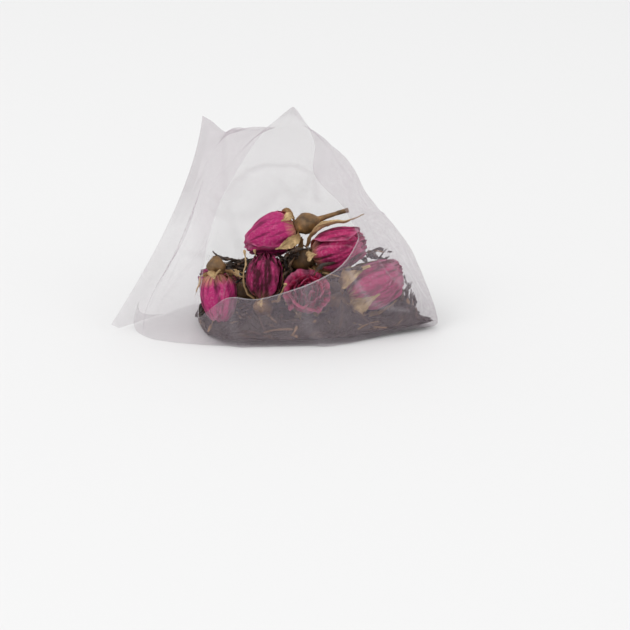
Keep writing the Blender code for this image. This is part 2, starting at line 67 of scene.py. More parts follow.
# The mesh tube from its weld, a bent line, through four closed loops of twelve places to the mouth.
# Places are given in shares of the bag's width, depth and height, from the middle of the base. In
# order, a loop has the peak, three places down the left side, the left foot, three along the base or
# lower lip, the right foot, and three up the right side
WELD_TOP = (-0.238, 0.270, 0.878)
WELD_BEND = (-0.262, 0.045, 0.560)
WELD_FOOT = (-0.525, -0.200, 0.010)
REAR_LOOP = (
    (-0.130, 0.225, 0.848), (-0.180, 0.160, 0.846), (-0.255, 0.110, 0.650),
    (-0.325, 0.000, 0.370), (-0.480, -0.150, 0.040), (-0.360, 0.080, 0.000),
    (-0.270, 0.260, 0.000), (-0.130, 0.370, 0.000), (0.020, 0.420, 0.020),
    (-0.010, 0.400, 0.260), (-0.070, 0.350, 0.540), (-0.110, 0.290, 0.760),
)
MIDDLE_LOOP = (
    (0.010, 0.090, 0.880), (-0.100, 0.000, 0.850), (-0.245, -0.060, 0.610),
    (-0.345, -0.150, 0.340), (-0.460, -0.250, 0.000), (-0.280, -0.200, 0.000),
    (0.000, -0.120, 0.000), (0.270, -0.100, 0.000), (0.470, -0.120, 0.010),
    (0.385, -0.030, 0.350), (0.262, 0.000, 0.565), (0.175, 0.050, 0.755),
)
FRONT_LOOP = (
    (0.022, 0.020, 0.950), (-0.095, -0.100, 0.870), (-0.220, -0.240, 0.635),
    (-0.290, -0.330, 0.400), (-0.400, -0.365, 0.000), (-0.240, -0.445, 0.000),
    (-0.020, -0.465, 0.000), (0.200, -0.440, 0.020), (0.360, -0.360, 0.190),
    (0.285, -0.260, 0.450), (0.180, -0.150, 0.640), (0.130, -0.060, 0.830),
)
MOUTH_LOOP = (
    (0.029, -0.040, 1.000), (-0.075, -0.190, 0.893), (-0.183, -0.340, 0.665),
    (-0.234, -0.430, 0.440), (-0.262, -0.462, 0.140), (-0.170, -0.520, 0.244),
    (-0.059, -0.535, 0.248), (0.150, -0.475, 0.350), (0.229, -0.385, 0.484),
    (0.177, -0.300, 0.612), (0.094, -0.200, 0.730), (0.094, -0.100, 0.863),
)
# How round a loop is at each place, from 0 at a sharp corner to 1 in a smooth stretch
ROUNDNESS = (0.25, 1, 0.5, 1, 0.4, 1, 1, 1, 0.4, 1, 1, 1)
PLACES = len(ROUNDNESS)
# The places of a loop that lie at the top and at the foot of the weld
WELD_TOP_PLACE = 11
WELD_FOOT_PLACE = 5
# The fin beyond the weld: how many rings of points it has, and how far apart its two layers lie
FIN_RINGS = 4
LAYER_GAP = 0.00012
# The least height of the sheet above what the bag stands on
BASE_HEIGHT = 0.0001
# How far crumpled petals may stand out of the hull of their solids
PETAL_ROOM = 0.0004
# The bag's own width, depth and height as shares of its box, which the fin and the lip widen
BAG_SHARES = (0.968, 1.038, 0.998)
BAG_SIZE = np.array(BAG_HIGH - BAG_LOW) * BAG_SHARES

# Folds in the mesh: the places that each runs through, as (place round the tube, loop along it), how
# wide and how high it is in millimetres, and whether its top is sharp
FOLDS = (
    (((9.3, 0.42), (9.8, 0.60), (10.2, 0.80), (10.5, 1.10), (10.6, 1.42), (10.4, 1.52), (9.9, 1.45)),
     1.0, 0.5, True),
    (((0.45, 0.95), (0.60, 1.45)), 3.0, -1.4, False),
    (((11.6, 0.30), (12.2, 0.75)), 2.5, 1.3, False),
    (((8.6, 0.35), (9.2, 0.70), (9.9, 1.10)), 1.8, 0.8, False),
    (((8.9, 0.30), (9.6, 0.60), (10.1, 0.75)), 1.3, -0.6, False),
    (((8.2, 0.60), (8.9, 1.00), (9.5, 1.30)), 1.6, 0.7, False),
    (((9.1, 0.85), (9.9, 1.30), (10.6, 1.60)), 1.5, 0.7, False),
    (((2.9, 3.85), (3.2, 3.20), (3.5, 2.60)), 1.4, 0.6, False),
    (((2.2, 1.30), (2.9, 1.70), (3.5, 2.10)), 2.4, 0.5, False),
    (((1.4, 1.90), (2.4, 2.20), (3.3, 2.40)), 2.4, -0.5, False),
    (((3.1, 1.20), (3.5, 1.70), (3.8, 2.30)), 0.9, 0.5, True),
    (((9.62, 2.85), (9.62, 2.40)), 0.5, 0.7, True),
    (((9.6, 2.40), (8.9, 2.45), (8.3, 2.35)), 1.5, 0.8, False),
    (((9.5, 2.75), (9.0, 2.90), (8.4, 2.75)), 1.4, -0.7, False),
    (((10.3, 2.70), (9.9, 2.90), (9.2, 3.20)), 1.5, 0.6, False),
    (((11.2, 3.30), (10.8, 2.90), (10.3, 2.60)), 0.9, 0.6, True),
    (((11.6, 2.50), (11.2, 2.70), (10.7, 3.10)), 1.6, 0.6, False),
    (((5.2, 3.85), (5.4, 3.30), (5.6, 2.90)), 1.5, 0.6, False),
    (((6.6, 3.90), (6.5, 3.40), (6.7, 3.00)), 1.6, 0.6, False),
    (((7.3, 3.85), (7.5, 3.30), (7.9, 2.80)), 1.3, 0.7, True),
    (((8.4, 3.60), (8.3, 3.20), (8.5, 2.70)), 1.2, 0.6, True),
    (((7.8, 1.20), (8.8, 1.40), (10.2, 1.20)), 2.4, 0.5, False),
    (((8.0, 0.60), (9.2, 0.40), (10.8, 0.40)), 2.2, -0.5, False),
    (((7.2, 0.30), (7.9, 0.80), (8.2, 1.60)), 1.6, 0.6, False),
)
# How long one step from place to place and from loop to loop is, on the whole, in millimetres
FOLD_GRID = (13.0, 16.0)
# The line along a fold's top, where the sheet is denser and paler as a painted highlight: its width in
# millimetres and its strength, on a sharp and a soft fold
SHARP_LINE = (0.5, 1.0)
SOFT_LINE = (0.9, 0.45)
# The soft wrinkles as layers of noise: how fine each layer is, and how high beside the first
WRINKLES = ((70, 1.0), (190, 0.45), (520, 0.2))
# Where folds start along the tube, and over how much of it they grow to their height, in loops
FOLDS_START = 0.02
FOLDS_GROW = 0.25
# The sheet looks denser near a short line at the peak: the line, its reach in millimetres, and by what
# share
PEAK_HEM = (((11.9, 3.60), (11.9, 3.80)), 9.0, 0.6)
# Low on the left flap it looks thinner: left of this x and below this height, over what distance that
# fades in on each, and by what share
THIN_FLAP = (-0.020, 0.040, 0.008, 0.012, 0.5)

# How each bud looks: roll in degrees, seed, age, how far the tip has opened, how red it is, how full
# its foot is, stem length in millimetres, how dark the hip is painted as painted shade where it lies
# in shadow and how long it is, and for each sepal its length, how far it curls out, how wide it is,
# and whether it is a thin string with a knob at its end
BudLook = namedtuple("BudLook", "roll seed age opened redness belly stem hip_shade hip_share sepals")
PLAIN_SEPAL = (1.0, 0.0, 1.0, False)
SHORT_SEPAL = (0.35, 0.08, 0.9, False)
BUDS = {
    # The rear bud's high age also darkens its petals as painted shade, deep in the bag
    "rear_bud": BudLook(55, 3, 0.6, 0.0, 0.0, 0.0, 1.0, 0.8, 1.0, (PLAIN_SEPAL,) * 5),
    "back_left_bud": BudLook(15, 5, 0.5, 0.0, 0.0, 0.0, 1.0, 0.5, 1.0, (PLAIN_SEPAL,) * 5),
    "left_bud": BudLook(20, 7, -0.12, 0.0, 0.0, 0.5, 0.0, 0.25, 0.72, (
        (0.28, 0.30, 1.2, False), (0.22, 0.35, 1.4, False), (0.7, 0.10, 0.36, False),
        (0.3, 0.2, 1.0, False), (0.3, 0.2, 1.0, False))),
    "corner_bud": BudLook(30, 11, 0.0, 0.05, 0.1, 0.3, 1.0, 0.0, 1.0, (
        (1.1, 0.0, 1.5, False), (1.1, 0.10, 1.7, False), (1.0, 0.1, 1.4, False), PLAIN_SEPAL, PLAIN_SEPAL)),
    "open_bud": BudLook(10, 13, 0.05, 0.75, 0.45, 0.0, 1.0, 0.0, 1.0, ((0.7, 0.0, 0.8, False),) * 5),
    "middle_bud": BudLook(0, 17, 0.55, 0.0, 0.15, 0.0, 1.0, 0.2, 1.0, (
        (0.9, 0.05, 0.5, False), (1.5, 0.16, 0.28, True), (1.75, 0.10, 0.30, True), (0.3, 0.0, 0.6, False),
        (0.8, 0.10, 0.36, True))),
    "right_bud": BudLook(75, 19, 0.12, 0.05, 0.25, 0.4, 1.0, 0.75, 1.0, (
        (1.8, 0.05, 1.3, False), SHORT_SEPAL, (0.75, 0.16, 1.4, False), (0.8, 0.1, 1.2, False),
        PLAIN_SEPAL)),
    "top_bud": BudLook(40, 23, 0.0, 0.0, 0.0, 1.0, 8.5, 0.0, 1.0, (
        SHORT_SEPAL, SHORT_SEPAL, PLAIN_SEPAL, (1.0, 0.3, 1.6, False), (0.95, 0.42, 1.15, False))),
}

# A point inside the heap. A clump's shred is left out where the bag's wall lies between it and this point
HEAP_MIDDLE = Vector((0.004, -0.002, 0.012))
# Clumps of tea between the buds and against the wall: middle and spread in millimetres, how many
# shreds are tried, how long they are beside the usual length, and the way that they lie on the whole,
# or none
CLUMPS = (
    ((1.0, -3.5, 17.5), (3.5, 2.2, 2.4), 150, 0.5, None),
    ((3.5, -4.5, 21.5), (2.6, 1.6, 1.6), 70, 0.45, None),
    ((-12.0, -6.5, 18.5), (3.0, 1.8, 1.4), 60, 0.6, (1.0, 0.1, 0.1)),
    ((-6.0, -4.5, 15.0), (3.0, 2.0, 2.0), 60, 0.5, None),
    ((11.0, -9.5, 16.0), (2.5, 1.6, 1.6), 40, 0.4, None),
    ((7.5, 3.0, 19.0), (2.5, 1.5, 1.2), 60, 0.45, None),
    ((26.0, -2.0, 20.3), (2.4, 1.2, 1.2), 36, 0.4, None),
    ((35.5, -4.5, 8.0), (3.0, 1.8, 2.4), 80, 0.45, (0.1, 0.1, 1.0)),
)

# Half outline of a bud's petals, base to tip: share of the length, share of the half width
BUD_OUTLINE = (
    (0.00, 0.30), (0.10, 0.68), (0.27, 0.94), (0.47, 1.00),
    (0.66, 0.94), (0.82, 0.76), (0.94, 0.50), (1.00, 0.20),
)
# Half outline of a hip, from the stem up: share of the half width, share of the length
HIP_OUTLINE = (
    (0.21, 0.00), (0.32, 0.06), (0.55, 0.16), (0.80, 0.31), (0.97, 0.47),
    (1.00, 0.58), (0.95, 0.70), (0.82, 0.81), (0.70, 0.89),
)
# Half width of the collar above the hip, as a share of the bud's half width
COLLAR_SHARE = 0.41
# Half width of the bud for which the settings give the hip and the sepals
USUAL_HALF_WIDTH = 0.00575
# The turn from one petal to the next, and how many faces a petal has across and up
PETAL_TURN = math.radians(137.5)
PETAL_COLUMNS = 28
PETAL_ROWS = 34
# How far round the bud its first sepal stands, in degrees
FIRST_SEPAL = 18
# Length of a plain sepal as a share of the petals' length
SEPAL_REACH = 0.66
# Half the thickness of a flat sepal
HALF_SEPAL = 0.00013

# Least distance of a shred of tea from the wall of the bag
WALL_CLEARANCE = 0.0005
# How much a face of the heap looks up: least for shreds on it, and up to what it counts as a side
CLAD_FROM = -0.3
SIDE_UNTIL = 0.15
# How shreds lie on the heap's top and on its sides: the range of their turns, how far out of the face
# they are in metres, and how long beside the usual length
TOP_LAY = ((0.0, math.tau), (-0.0004, 0.0004), 1.0)
SIDE_LAY = ((-0.5, 0.5), (-0.0006, 0.0001), 0.55)


class MeshSettings(bpy.types.PropertyGroup):
    """The nylon mesh."""

    steps_round: IntProperty(
        name="Steps round", description="Steps between two places round the tube", default=24)
    steps_along: IntProperty(
        name="Steps along", description="Steps between two loops along the tube", default=26)
    fin_width: FloatProperty(
        name="Fin width", description="Width of the flat strip beyond the weld", default=0.003,
        unit="LENGTH")
    thread_pitch: FloatProperty(
        name="Thread pitch", description="Distance between two threads", default=0.00021, precision=5,
        unit="LENGTH")
    thread_share: FloatProperty(
        name="Thread share", description="Share of the pitch that a thread covers", default=0.22,
        subtype="FACTOR")
    wrinkle_height: FloatProperty(
        name="Wrinkle height", description="Height of the soft wrinkles", default=0.00035, unit="LENGTH")
    clearance: FloatProperty(
        name="Clearance", description="Least distance of the mesh from a bud", default=0.0003,
        unit="LENGTH")
    colour: FloatVectorProperty(
        name="Colour", description="Colour of the threads", default=(0.385, 0.322, 0.360), size=3,
        subtype="COLOR")


class RoseSettings(bpy.types.PropertyGroup):
    """The dried rosebuds."""

    petals: IntProperty(name="Petals", description="Petals of one bud", default=15)
    petal_thickness: FloatProperty(
        name="Petal thickness", description="Thickness of a dried petal", default=0.00012, unit="LENGTH")
    hip_width: FloatProperty(
        name="Hip width", description="Width of the hip", default=0.0062, unit="LENGTH")
    hip_length: FloatProperty(
        name="Hip length", description="Length of the hip", default=0.0076, unit="LENGTH")
    stem_width: FloatProperty(
        name="Stem width", description="Width of the stem", default=0.0014, unit="LENGTH")
    sepal_width: FloatProperty(
        name="Sepal width", description="Width of a sepal", default=0.0030, unit="LENGTH")
    bright: FloatVectorProperty(
        name="Bright", description="Bright colour of the petals", default=(0.70, 0.045, 0.26), size=3,
        subtype="COLOR")
    dark: FloatVectorProperty(
        name="Dark", description="Dark colour of the petals", default=(0.085, 0.005, 0.020), size=3,
        subtype="COLOR")
    # Pale colour of dust, of painted highlights on the ridge tops and of the rims of young petals
    dust_and_highlight: FloatVectorProperty(
        name="Dust", description="Colour of the palest creases", default=(0.80, 0.30, 0.48), size=3,
        subtype="COLOR")
    pale: FloatVectorProperty(
        name="Pale", description="Colour at the foot of the petals", default=(0.80, 0.48, 0.28), size=3,
        subtype="COLOR")
    hip: FloatVectorProperty(
        name="Hip", description="Colour of the hip", default=(0.26, 0.138, 0.047), size=3, subtype="COLOR")
    sepal: FloatVectorProperty(
        name="Sepal", description="Colour of the sepals", default=(0.56, 0.40, 0.20), size=3,
        subtype="COLOR")


class TeaSettings(bpy.types.PropertyGroup):
    """The black tea."""

    shreds: IntProperty(name="Shreds", description="Twisted shreds on the heap", default=1300)
    length: FloatProperty(
        name="Length", description="Usual length of a shred", default=0.0075, unit="LENGTH")
    width: FloatProperty(
        name="Width", description="Usual width of a shred", default=0.0011, unit="LENGTH")
    colour: FloatVectorProperty(
        name="Colour", description="Colour of the tea", default=(0.020, 0.012, 0.008), size=3,
        subtype="COLOR")
    stray: FloatProperty(
        name="Stray", description="Most that a shred's end may stand off the heap", default=0.0012,
        precision=4, unit="LENGTH")
    stalk: FloatVectorProperty(
        name="Stalk", description="Colour of the few pale stalks", default=(0.27, 0.16, 0.08), size=3,
        subtype="COLOR")


class StageSettings(bpy.types.PropertyGroup):
    """The floor, the lights and the camera."""

    floor_width: FloatProperty(
        name="Floor width", description="Width of the floor", default=6.0, unit="LENGTH")
    pixel: FloatProperty(
        name="Pixel", description="Width on the object that one pixel of the photograph shows",
        default=0.0003, unit="LENGTH", precision=5)
    elevation: FloatProperty(
        name="Elevation", description="Height of the camera above the horizon",
        default=math.radians(20), subtype="ANGLE")
    distance: FloatProperty(
        name="Distance", description="Distance of the camera", default=0.60, unit="LENGTH")
    floor: FloatVectorProperty(
        name="Floor", description="Colour of the floor", default=(0.713, 0.713, 0.713), size=3,
        subtype="COLOR")


class Field:
    """A number that varies over a surface. Arithmetic on it adds Math nodes."""

    def __init__(self, shader, socket):
        self.shader = shader
        self.socket = socket

    def maths(self, operation, *values, clamp=False):
        """Adds one Math node."""
        settings = {"operation": operation, "use_clamp": clamp}
        node = self.shader.node("ShaderNodeMath", settings, dict(enumerate(values)))
        return Field(self.shader, node.outputs[0])

    def __add__(self, other):
        return self.maths("ADD", self, other)

    def __sub__(self, other):
        return self.maths("SUBTRACT", self, other)

    def __mul__(self, other):
        return self.maths("MULTIPLY", self, other)

    def __radd__(self, other):
        return self.maths("ADD", other, self)

    def __rsub__(self, other):
        return self.maths("SUBTRACT", other, self)

    def __rmul__(self, other):
        return self.maths("MULTIPLY", other, self)

    def over(self, low, high):
        """Rises from 0 to 1 as this value goes from low to high."""
        return self.maths("MULTIPLY", self - low, 1 / (high - low), clamp=True)

    def most(self, other):
        """The larger of two values."""
        return self.maths("MAXIMUM", self, other)


class Shader:
    """A material with one method that adds a node to it."""

    def __init__(self, name):
        self.material = bpy.data.materials.new(name)
        self.material.use_nodes = True
        self.tree = self.material.node_tree
        self.surface = self.tree.nodes["Principled BSDF"]

    def feed(self, socket, value):
        """Links a socket to another one, or gives it a number, a place or a colour."""
        if isinstance(value, Field):
            value = value.socket
        if isinstance(value, bpy.types.NodeSocket):
            self.tree.links.new(value, socket)
        elif socket.type == "RGBA" and len(value) == 3:
            socket.default_value = (*value, 1.0)
        else:
            socket.default_value = value

    def node(self, kind, settings=None, sockets=None):
        """Adds a node. Its settings are set first, then the values or links of its sockets."""
        made = self.tree.nodes.new(kind)
        for name, value in (settings or {}).items():
            setattr(made, name, value)
        for key, value in (sockets or {}).items():
            self.feed(made.inputs[key], value)
        return made

    def noise(self, place, scale, detail=4.0, roughness=0.55, distortion=0.0):
        """Noise from 0 to 1, over a place."""
        made = self.node("ShaderNodeTexNoise", sockets={
            "Vector": place, "Scale": scale, "Detail": detail, "Roughness": roughness,
            "Distortion": distortion,
        })
        return Field(self, made.outputs["Fac"])

    def stretched(self, place, scale):
        """A place whose three axes are scaled on their own."""
        made = self.node("ShaderNodeVectorMath", {"operation": "MULTIPLY"}, {0: place, 1: scale})
        return made.outputs[0]

    def parts(self, place):
        """The three numbers of a place."""
        made = self.node("ShaderNodeSeparateXYZ", sockets={0: place})
        return [Field(self, socket) for socket in made.outputs]

    def mixed(self, share, first, second):
        """The first colour, with a share of the second laid over it."""
        colours = {0: share, 6: first, 7: second}
        return self.node("ShaderNodeMix", {"data_type": "RGBA"}, colours).outputs[2]

    def bump(self, height, strength, distance):
        """The surface's direction where a height makes it rough. The distance is in metres."""
        sockets = {"Height": height, "Strength": strength, "Distance": distance}
        return self.node("ShaderNodeBump", sockets=sockets).outputs[0]

    def finish(self, **values):
        """Sets the surface's sockets, named with underscores for spaces."""
        for name, value in values.items():
            self.feed(self.surface.inputs[name.replace("_", " ")], value)
        return self.material

    def here(self):
        """Places on the object, in metres."""
        return self.node("ShaderNodeTexCoord").outputs["Object"]

    def unwrapped(self):
        """Places on the unwrapped surface."""
        return self.node("ShaderNodeTexCoord").outputs["UV"]

    def tone(self, name):
        """The three numbers of a colour attribute."""
        return self.parts(self.node("ShaderNodeAttribute", {"attribute_name": name}).outputs["Color"])


def shaded(colour, *factors):
    """A colour made lighter or darker, by one factor or by one for each of its three parts."""
    return tuple(part * factors[i % len(factors)] for i, part in enumerate(colour))


def mesh_material(settings, length):
    """White nylon mesh: fine crossing threads with holes between them, denser where it is folded or cut,
    with a painted highlight along each fold's top and a paler cut edge.
    """
    hole_cover, thread_cover, cloud_cover, fold_cover, rim_cover = 0.04, 0.52, 0.24, 0.16, 0.50
    fold_highlight_and_rim_colour = (0.56, 0.52, 0.545)
    rim_start, rim_full = length - 0.00028, length - 0.00020
    shader = Shader("white_nylon_mesh")
    here = shader.here()
    drift = shader.noise(here, 700.0, 2.0)
    across, along, _ = shader.parts(shader.unwrapped())
    turns = 2 * math.pi / settings.thread_pitch
    sway = drift * 2.2
    warp = (across * turns + sway).maths("COSINE", across * turns + sway)
    weft = (along * turns - sway).maths("COSINE", along * turns - sway)
    threads = warp.most(weft)
    edge = math.cos(math.pi * settings.thread_share)
    cover = threads.over(edge - 0.5, edge + 0.5)
    rim = along.over(rim_start, rim_full)
    fold, density, _ = shader.tone("sheet")
    cloud = shader.noise(here, 60.0, 3.0)
    weave = (hole_cover + cover * (thread_cover + cloud_cover * cloud)) * (1 + density) + fold * fold_cover
    alpha = weave.most(rim * rim_cover)
    tint = shader.mixed(cloud, settings.colour, shaded(settings.colour, 1.06))
    # Paler along the fold tops as a painted highlight, and along the cut edge of the mouth
    colour = shader.mixed((fold * 0.45).most(rim * 0.9), tint, fold_highlight_and_rim_colour)
    return shader.finish(
        Base_Color=colour, Roughness=0.55, Alpha=alpha, Specular_IOR_Level=0.3,
        Normal=shader.bump(threads, strength=0.25, distance=0.00004),
    )


def petal_material(name, settings, age, redness, foot_reach):
    """Dried rose petals: magenta and dark purple, painted lighter on the ridges and darker in the creases as
    painted light and shade, with pale dust and painted highlights on the ridge tops, and a foot that is pale
    up to its reach.
    """
    red = (0.62, 0.030, 0.060)
    shader = Shader(name)
    unwrapped = shader.unwrapped()
    _, up, _ = shader.parts(unwrapped)
    shade, ridge, rim = shader.tone("tone")
    here = shader.here()
    veins = shader.noise(shader.stretched(unwrapped, (22.0, 2.6, 1.0)), 1.0, 5.0, 0.62, 0.7)
    blotches = shader.noise(here, 300.0, 4.0, 0.6)
    crinkle = shader.noise(here, 1300.0, 5.0, 0.65, 0.4)
    bright = tuple(b + (r - b) * redness for b, r in zip(settings.bright, red))
    # The ridge term paints light on the ridges and shade in the creases; veins, blotches, each petal's tone
    # and the age vary the petals' own colour
    light = ridge * 0.68 + veins * 0.66 + blotches * 0.50 + shade * 0.22 - 0.54 - age * 0.72
    body = shader.mixed(light.over(0.0, 0.60), settings.dark, bright)
    # Pale dust on the ridge tops, partly a painted highlight
    dust_and_highlight_mask = crinkle.over(0.50, 0.74) * ridge * (0.75 - 0.5 * age)
    lit = shader.mixed(dust_and_highlight_mask.over(0.0, 1.0), body, settings.dust_and_highlight)
    rim_tone = settings.dark if age > 0.3 else settings.dust_and_highlight
    edged = shader.mixed(rim * (0.2 + 0.8 * blotches.over(0.4, 0.6)) * 0.75, lit, rim_tone)
    foot = (1 - up.over(0.03, foot_reach)) * (0.15 + 1.3 * veins.over(0.42, 0.60)) * (1.1 - age)
    colour = shader.mixed(foot.over(0.0, 1.0), edged, settings.pale)
    height = veins * 0.6 + crinkle * 0.5
    return shader.finish(
        Base_Color=colour, Roughness=0.45 + 0.3 * blotches, Specular_IOR_Level=0.35,
        Sheen_Weight=0.06, Sheen_Roughness=0.4,
        Normal=shader.bump(height, strength=0.7, distance=0.0003),
    )


def hip_material(settings):
    """The hip and stem: olive brown skin, dull and shrivelled, darkened as painted shade on buds whose hips
    lie in shadow.
    """
    shader = Shader("dried_hip")
    here = shader.here()
    patches = shader.noise(here, 260.0, 4.0, 0.6)
    grain = shader.noise(here, 1800.0, 3.0, 0.6)
    shade, _, _ = shader.tone("tone")
    low = shader.mixed(patches.over(0.35, 0.62), shaded(settings.hip, 0.28), settings.hip)
    lit = shader.mixed(patches.over(0.58, 0.75), low, shaded(settings.hip, 2.1, 2.0, 1.7))
    # Hips that lie in shadow are darkened toward near black, as painted shade
    colour = shader.mixed(shade, lit, shaded(settings.hip, 0.2))
    return shader.finish(
        Base_Color=colour, Roughness=0.42 + 0.25 * grain,
        Normal=shader.bump(grain, strength=0.5, distance=0.0002),
    )


def sepal_material(settings):
    """The sepals: papery tan leaf with lengthwise veins and brown edges."""
    shader = Shader("dried_sepals")
    unwrapped = shader.unwrapped()
    _, along, _ = shader.parts(unwrapped)
    veins = shader.noise(shader.stretched(unwrapped, (9.0, 2.5, 1.0)), 1.0, 4.0, 0.6, 0.4)
    patches = shader.noise(shader.here(), 420.0, 4.0, 0.6)
    brown = shaded(settings.sepal, 0.36, 0.29, 0.24)
    base = shader.mixed(veins.over(0.35, 0.65), brown, settings.sepal)
    lit = shader.mixed(patches.over(0.5, 0.72), base, shaded(settings.sepal, 1.35))
    foot = shader.mixed((1 - along.over(0.0, 0.22)) * 0.8, lit, settings.hip)
    return shader.finish(
        Base_Color=foot, Roughness=0.62 + 0.2 * patches,
        Normal=shader.bump(veins, strength=0.6, distance=0.00025),
    )


def tea_material(settings):
    """Black tea: near black, with brown edges and a faint gloss."""
    shader = Shader("black_tea")
    shade, _, _ = shader.tone("tone")
    grain = shader.noise(shader.here(), 900.0, 4.0, 0.65)
    share = (grain.over(0.50, 0.85) * 0.40 + shade.over(0.68, 0.90) * 0.7).over(0.0, 1.0)
    body = shader.mixed(share, settings.colour, shaded(settings.colour, 6.5, 5.8, 4.8))
    return shader.finish(
        Base_Color=shader.mixed(shade.over(0.92, 0.95), body, settings.stalk),
        Roughness=0.45 + 0.3 * grain, Normal=shader.bump(grain, strength=0.7, distance=0.0003),
    )


def floor_material(settings):
    """A plain pale floor."""
    shader = Shader("pale_floor")
    cloud = shader.noise(shader.here(), 1.2, 2.0)
    tint = shader.mixed(cloud, settings.floor, shaded(settings.floor, 0.997))
    return shader.finish(Base_Color=tint, Roughness=0.9, Specular_IOR_Level=0.1)


def curve_point(before, start, end, after, share, start_round=1.0, end_round=1.0):
    """A point of the smooth curve from start to end, which the outer two points steer."""
    start_slope = (end - before) * 0.5 * start_round
    end_slope = (after - start) * 0.5 * end_round
    squared = share * share
    cubed = squared * share
    return (
        start * (2 * cubed - 3 * squared + 1)
        + start_slope * (cubed - 2 * squared + share)
        + end * (3 * squared - 2 * cubed)
        + end_slope * (cubed - squared)
    )


def smooth_path(keys, steps):
    """Points along the smooth curve through some keys, with some steps from each to the next."""
    path = []
    for i in range(len(keys) - 1):
        near = keys[max(i - 1, 0)], keys[i], keys[i + 1], keys[min(i + 2, len(keys) - 1)]
        path += [curve_point(*near, step / steps) for step in range(steps)]
    return path + [keys[-1]]


def smooth_loop(places, steps):
    """A closed loop of places as a finer ring of points."""
    corners = np.array(places) * BAG_SIZE
    ring = []
    for i in range(PLACES):
        near = [corners[(i + k) % PLACES] for k in (-1, 0, 1, 2)]
        rounds = ROUNDNESS[i], ROUNDNESS[(i + 1) % PLACES]
        ring += [curve_point(*near, step / steps, *rounds) for step in range(steps)]
    return np.array(ring)


def weld_ring(count):
    """The ring squeezed flat along the weld, its two layers a little apart."""
    top, bend, foot = (np.array(place) * BAG_SIZE for place in (WELD_TOP, WELD_BEND, WELD_FOOT))
    inwards = (np.array(MIDDLE_LOOP[0]) + np.array(MIDDLE_LOOP[6])) * BAG_SIZE - top - foot
    across = np.cross(foot - top, inwards)
    across /= np.linalg.norm(across)
    ring = []
    for i in range(count):
        away = (i * PLACES / count - WELD_TOP_PLACE) % PLACES
        share = min(away, PLACES - away) * 2 / PLACES
        side = 0.0 if share in (0.0, 1.0) else LAYER_GAP / 2
        point = top * (1 - share) ** 2 + bend * 2 * share * (1 - share) + foot * share * share
        ring.append(point + across * (side if away < PLACES / 2 else -side))
    return np.array(ring)


def tube_rings(settings):
    """The sheet as rings of points, from the fin's free edge to the mouth."""
    steps = settings.steps_round
    loops = [smooth_loop(places, steps) for places in (REAR_LOOP, MIDDLE_LOOP, FRONT_LOOP, MOUTH_LOOP)]
    weld = weld_ring(len(loops[0]))
    rings = smooth_path([weld, *loops], settings.steps_along)
    along = weld[WELD_FOOT_PLACE * steps] - weld[WELD_TOP_PLACE * steps]
    along /= np.linalg.norm(along)
    out = weld.mean(axis=0) - loops[0].mean(axis=0)
    out -= along * out.dot(along)
    out /= np.linalg.norm(out)
    fin = [weld + out * settings.fin_width * (1 - i / FIN_RINGS) for i in range(FIN_RINGS)]
    return np.array(fin + rings)


def ring_normals(rings):
    """The outward direction of the sheet at each of its points."""
    round_it = np.roll(rings, -1, axis=1) - np.roll(rings, 1, axis=1)
    along = np.gradient(rings, axis=0)
    normals = np.cross(round_it, along)
    return normals / np.linalg.norm(normals, axis=2, keepdims=True)


def away_from_line(places, loops, line):
    """How far each place of the sheet lies from a line of places, in millimetres."""
    nearest = np.full(places.shape, 1e9)
    for (p0, l0), (p1, l1) in zip(line, line[1:]):
        across = ((places - p0 + PLACES / 2) % PLACES - PLACES / 2) * FOLD_GRID[0]
        along = (loops - l0) * FOLD_GRID[1]
        way = np.array([(p1 - p0) * FOLD_GRID[0], (l1 - l0) * FOLD_GRID[1]])
        share = np.clip((across * way[0] + along * way[1]) / way.dot(way), 0, 1)
        nearest = np.minimum(nearest, np.hypot(across - share * way[0], along - share * way[1]))
    return nearest


def crease(rings, settings):
    """The sheet with its folds and soft wrinkles, how strong the painted highlight and denser weave along a
    fold's top are at each point, and how dense it looks there.
    """
    normals = ring_normals(rings)
    count = rings.shape[1]
    loops = np.maximum(np.arange(len(rings)) - FIN_RINGS, 0)[:, None] / settings.steps_along
    loops = loops + np.zeros(count)
    places = np.arange(count)[None, :] * PLACES / count + np.zeros(loops.shape)
    rise = np.zeros(loops.shape)
    fold = np.zeros(loops.shape)
    for line, width, height, sharp in FOLDS:
        away = away_from_line(places, loops, line)
        rise += height / 1000 * (np.exp(-away / width) if sharp else np.exp(-(away / width) ** 2))
        line_width, strength = SHARP_LINE if sharp else SOFT_LINE
        fold = np.maximum(fold, np.exp(-(away / line_width) ** 2) * strength)
    hem, reach, denser = PEAK_HEM
    side, height, side_fade, height_fade, thinner = THIN_FLAP
    left = np.clip((side - rings[..., 0]) / side_fade, 0, 1)
    low = np.clip((height - rings[..., 2]) / height_fade, 0, 1)
    density = np.exp(-(away_from_line(places, loops, hem) / reach) ** 4) * denser - thinner * low * left
    for j in range(len(rings)):
        for i in range(count):
            spot = Vector(rings[j, i])
            soft = sum(share * noise.noise(spot * scale) for scale, share in WRINKLES)
            rise[j, i] += settings.wrinkle_height * soft
    grown = np.clip((loops - FOLDS_START) / FOLDS_GROW, 0, 1)
    return rings + normals * (rise * grown)[..., None], fold * grown, density


def node_points(name):
    """The places of a node's vertices."""
    return np.array([v.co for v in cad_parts[name].data.vertices])


def search_tree(name):
    """A node's faces as a tree to search."""
    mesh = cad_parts[name].data
    return BVHTree.FromPolygons([v.co for v in mesh.vertices], [p.vertices for p in mesh.polygons])


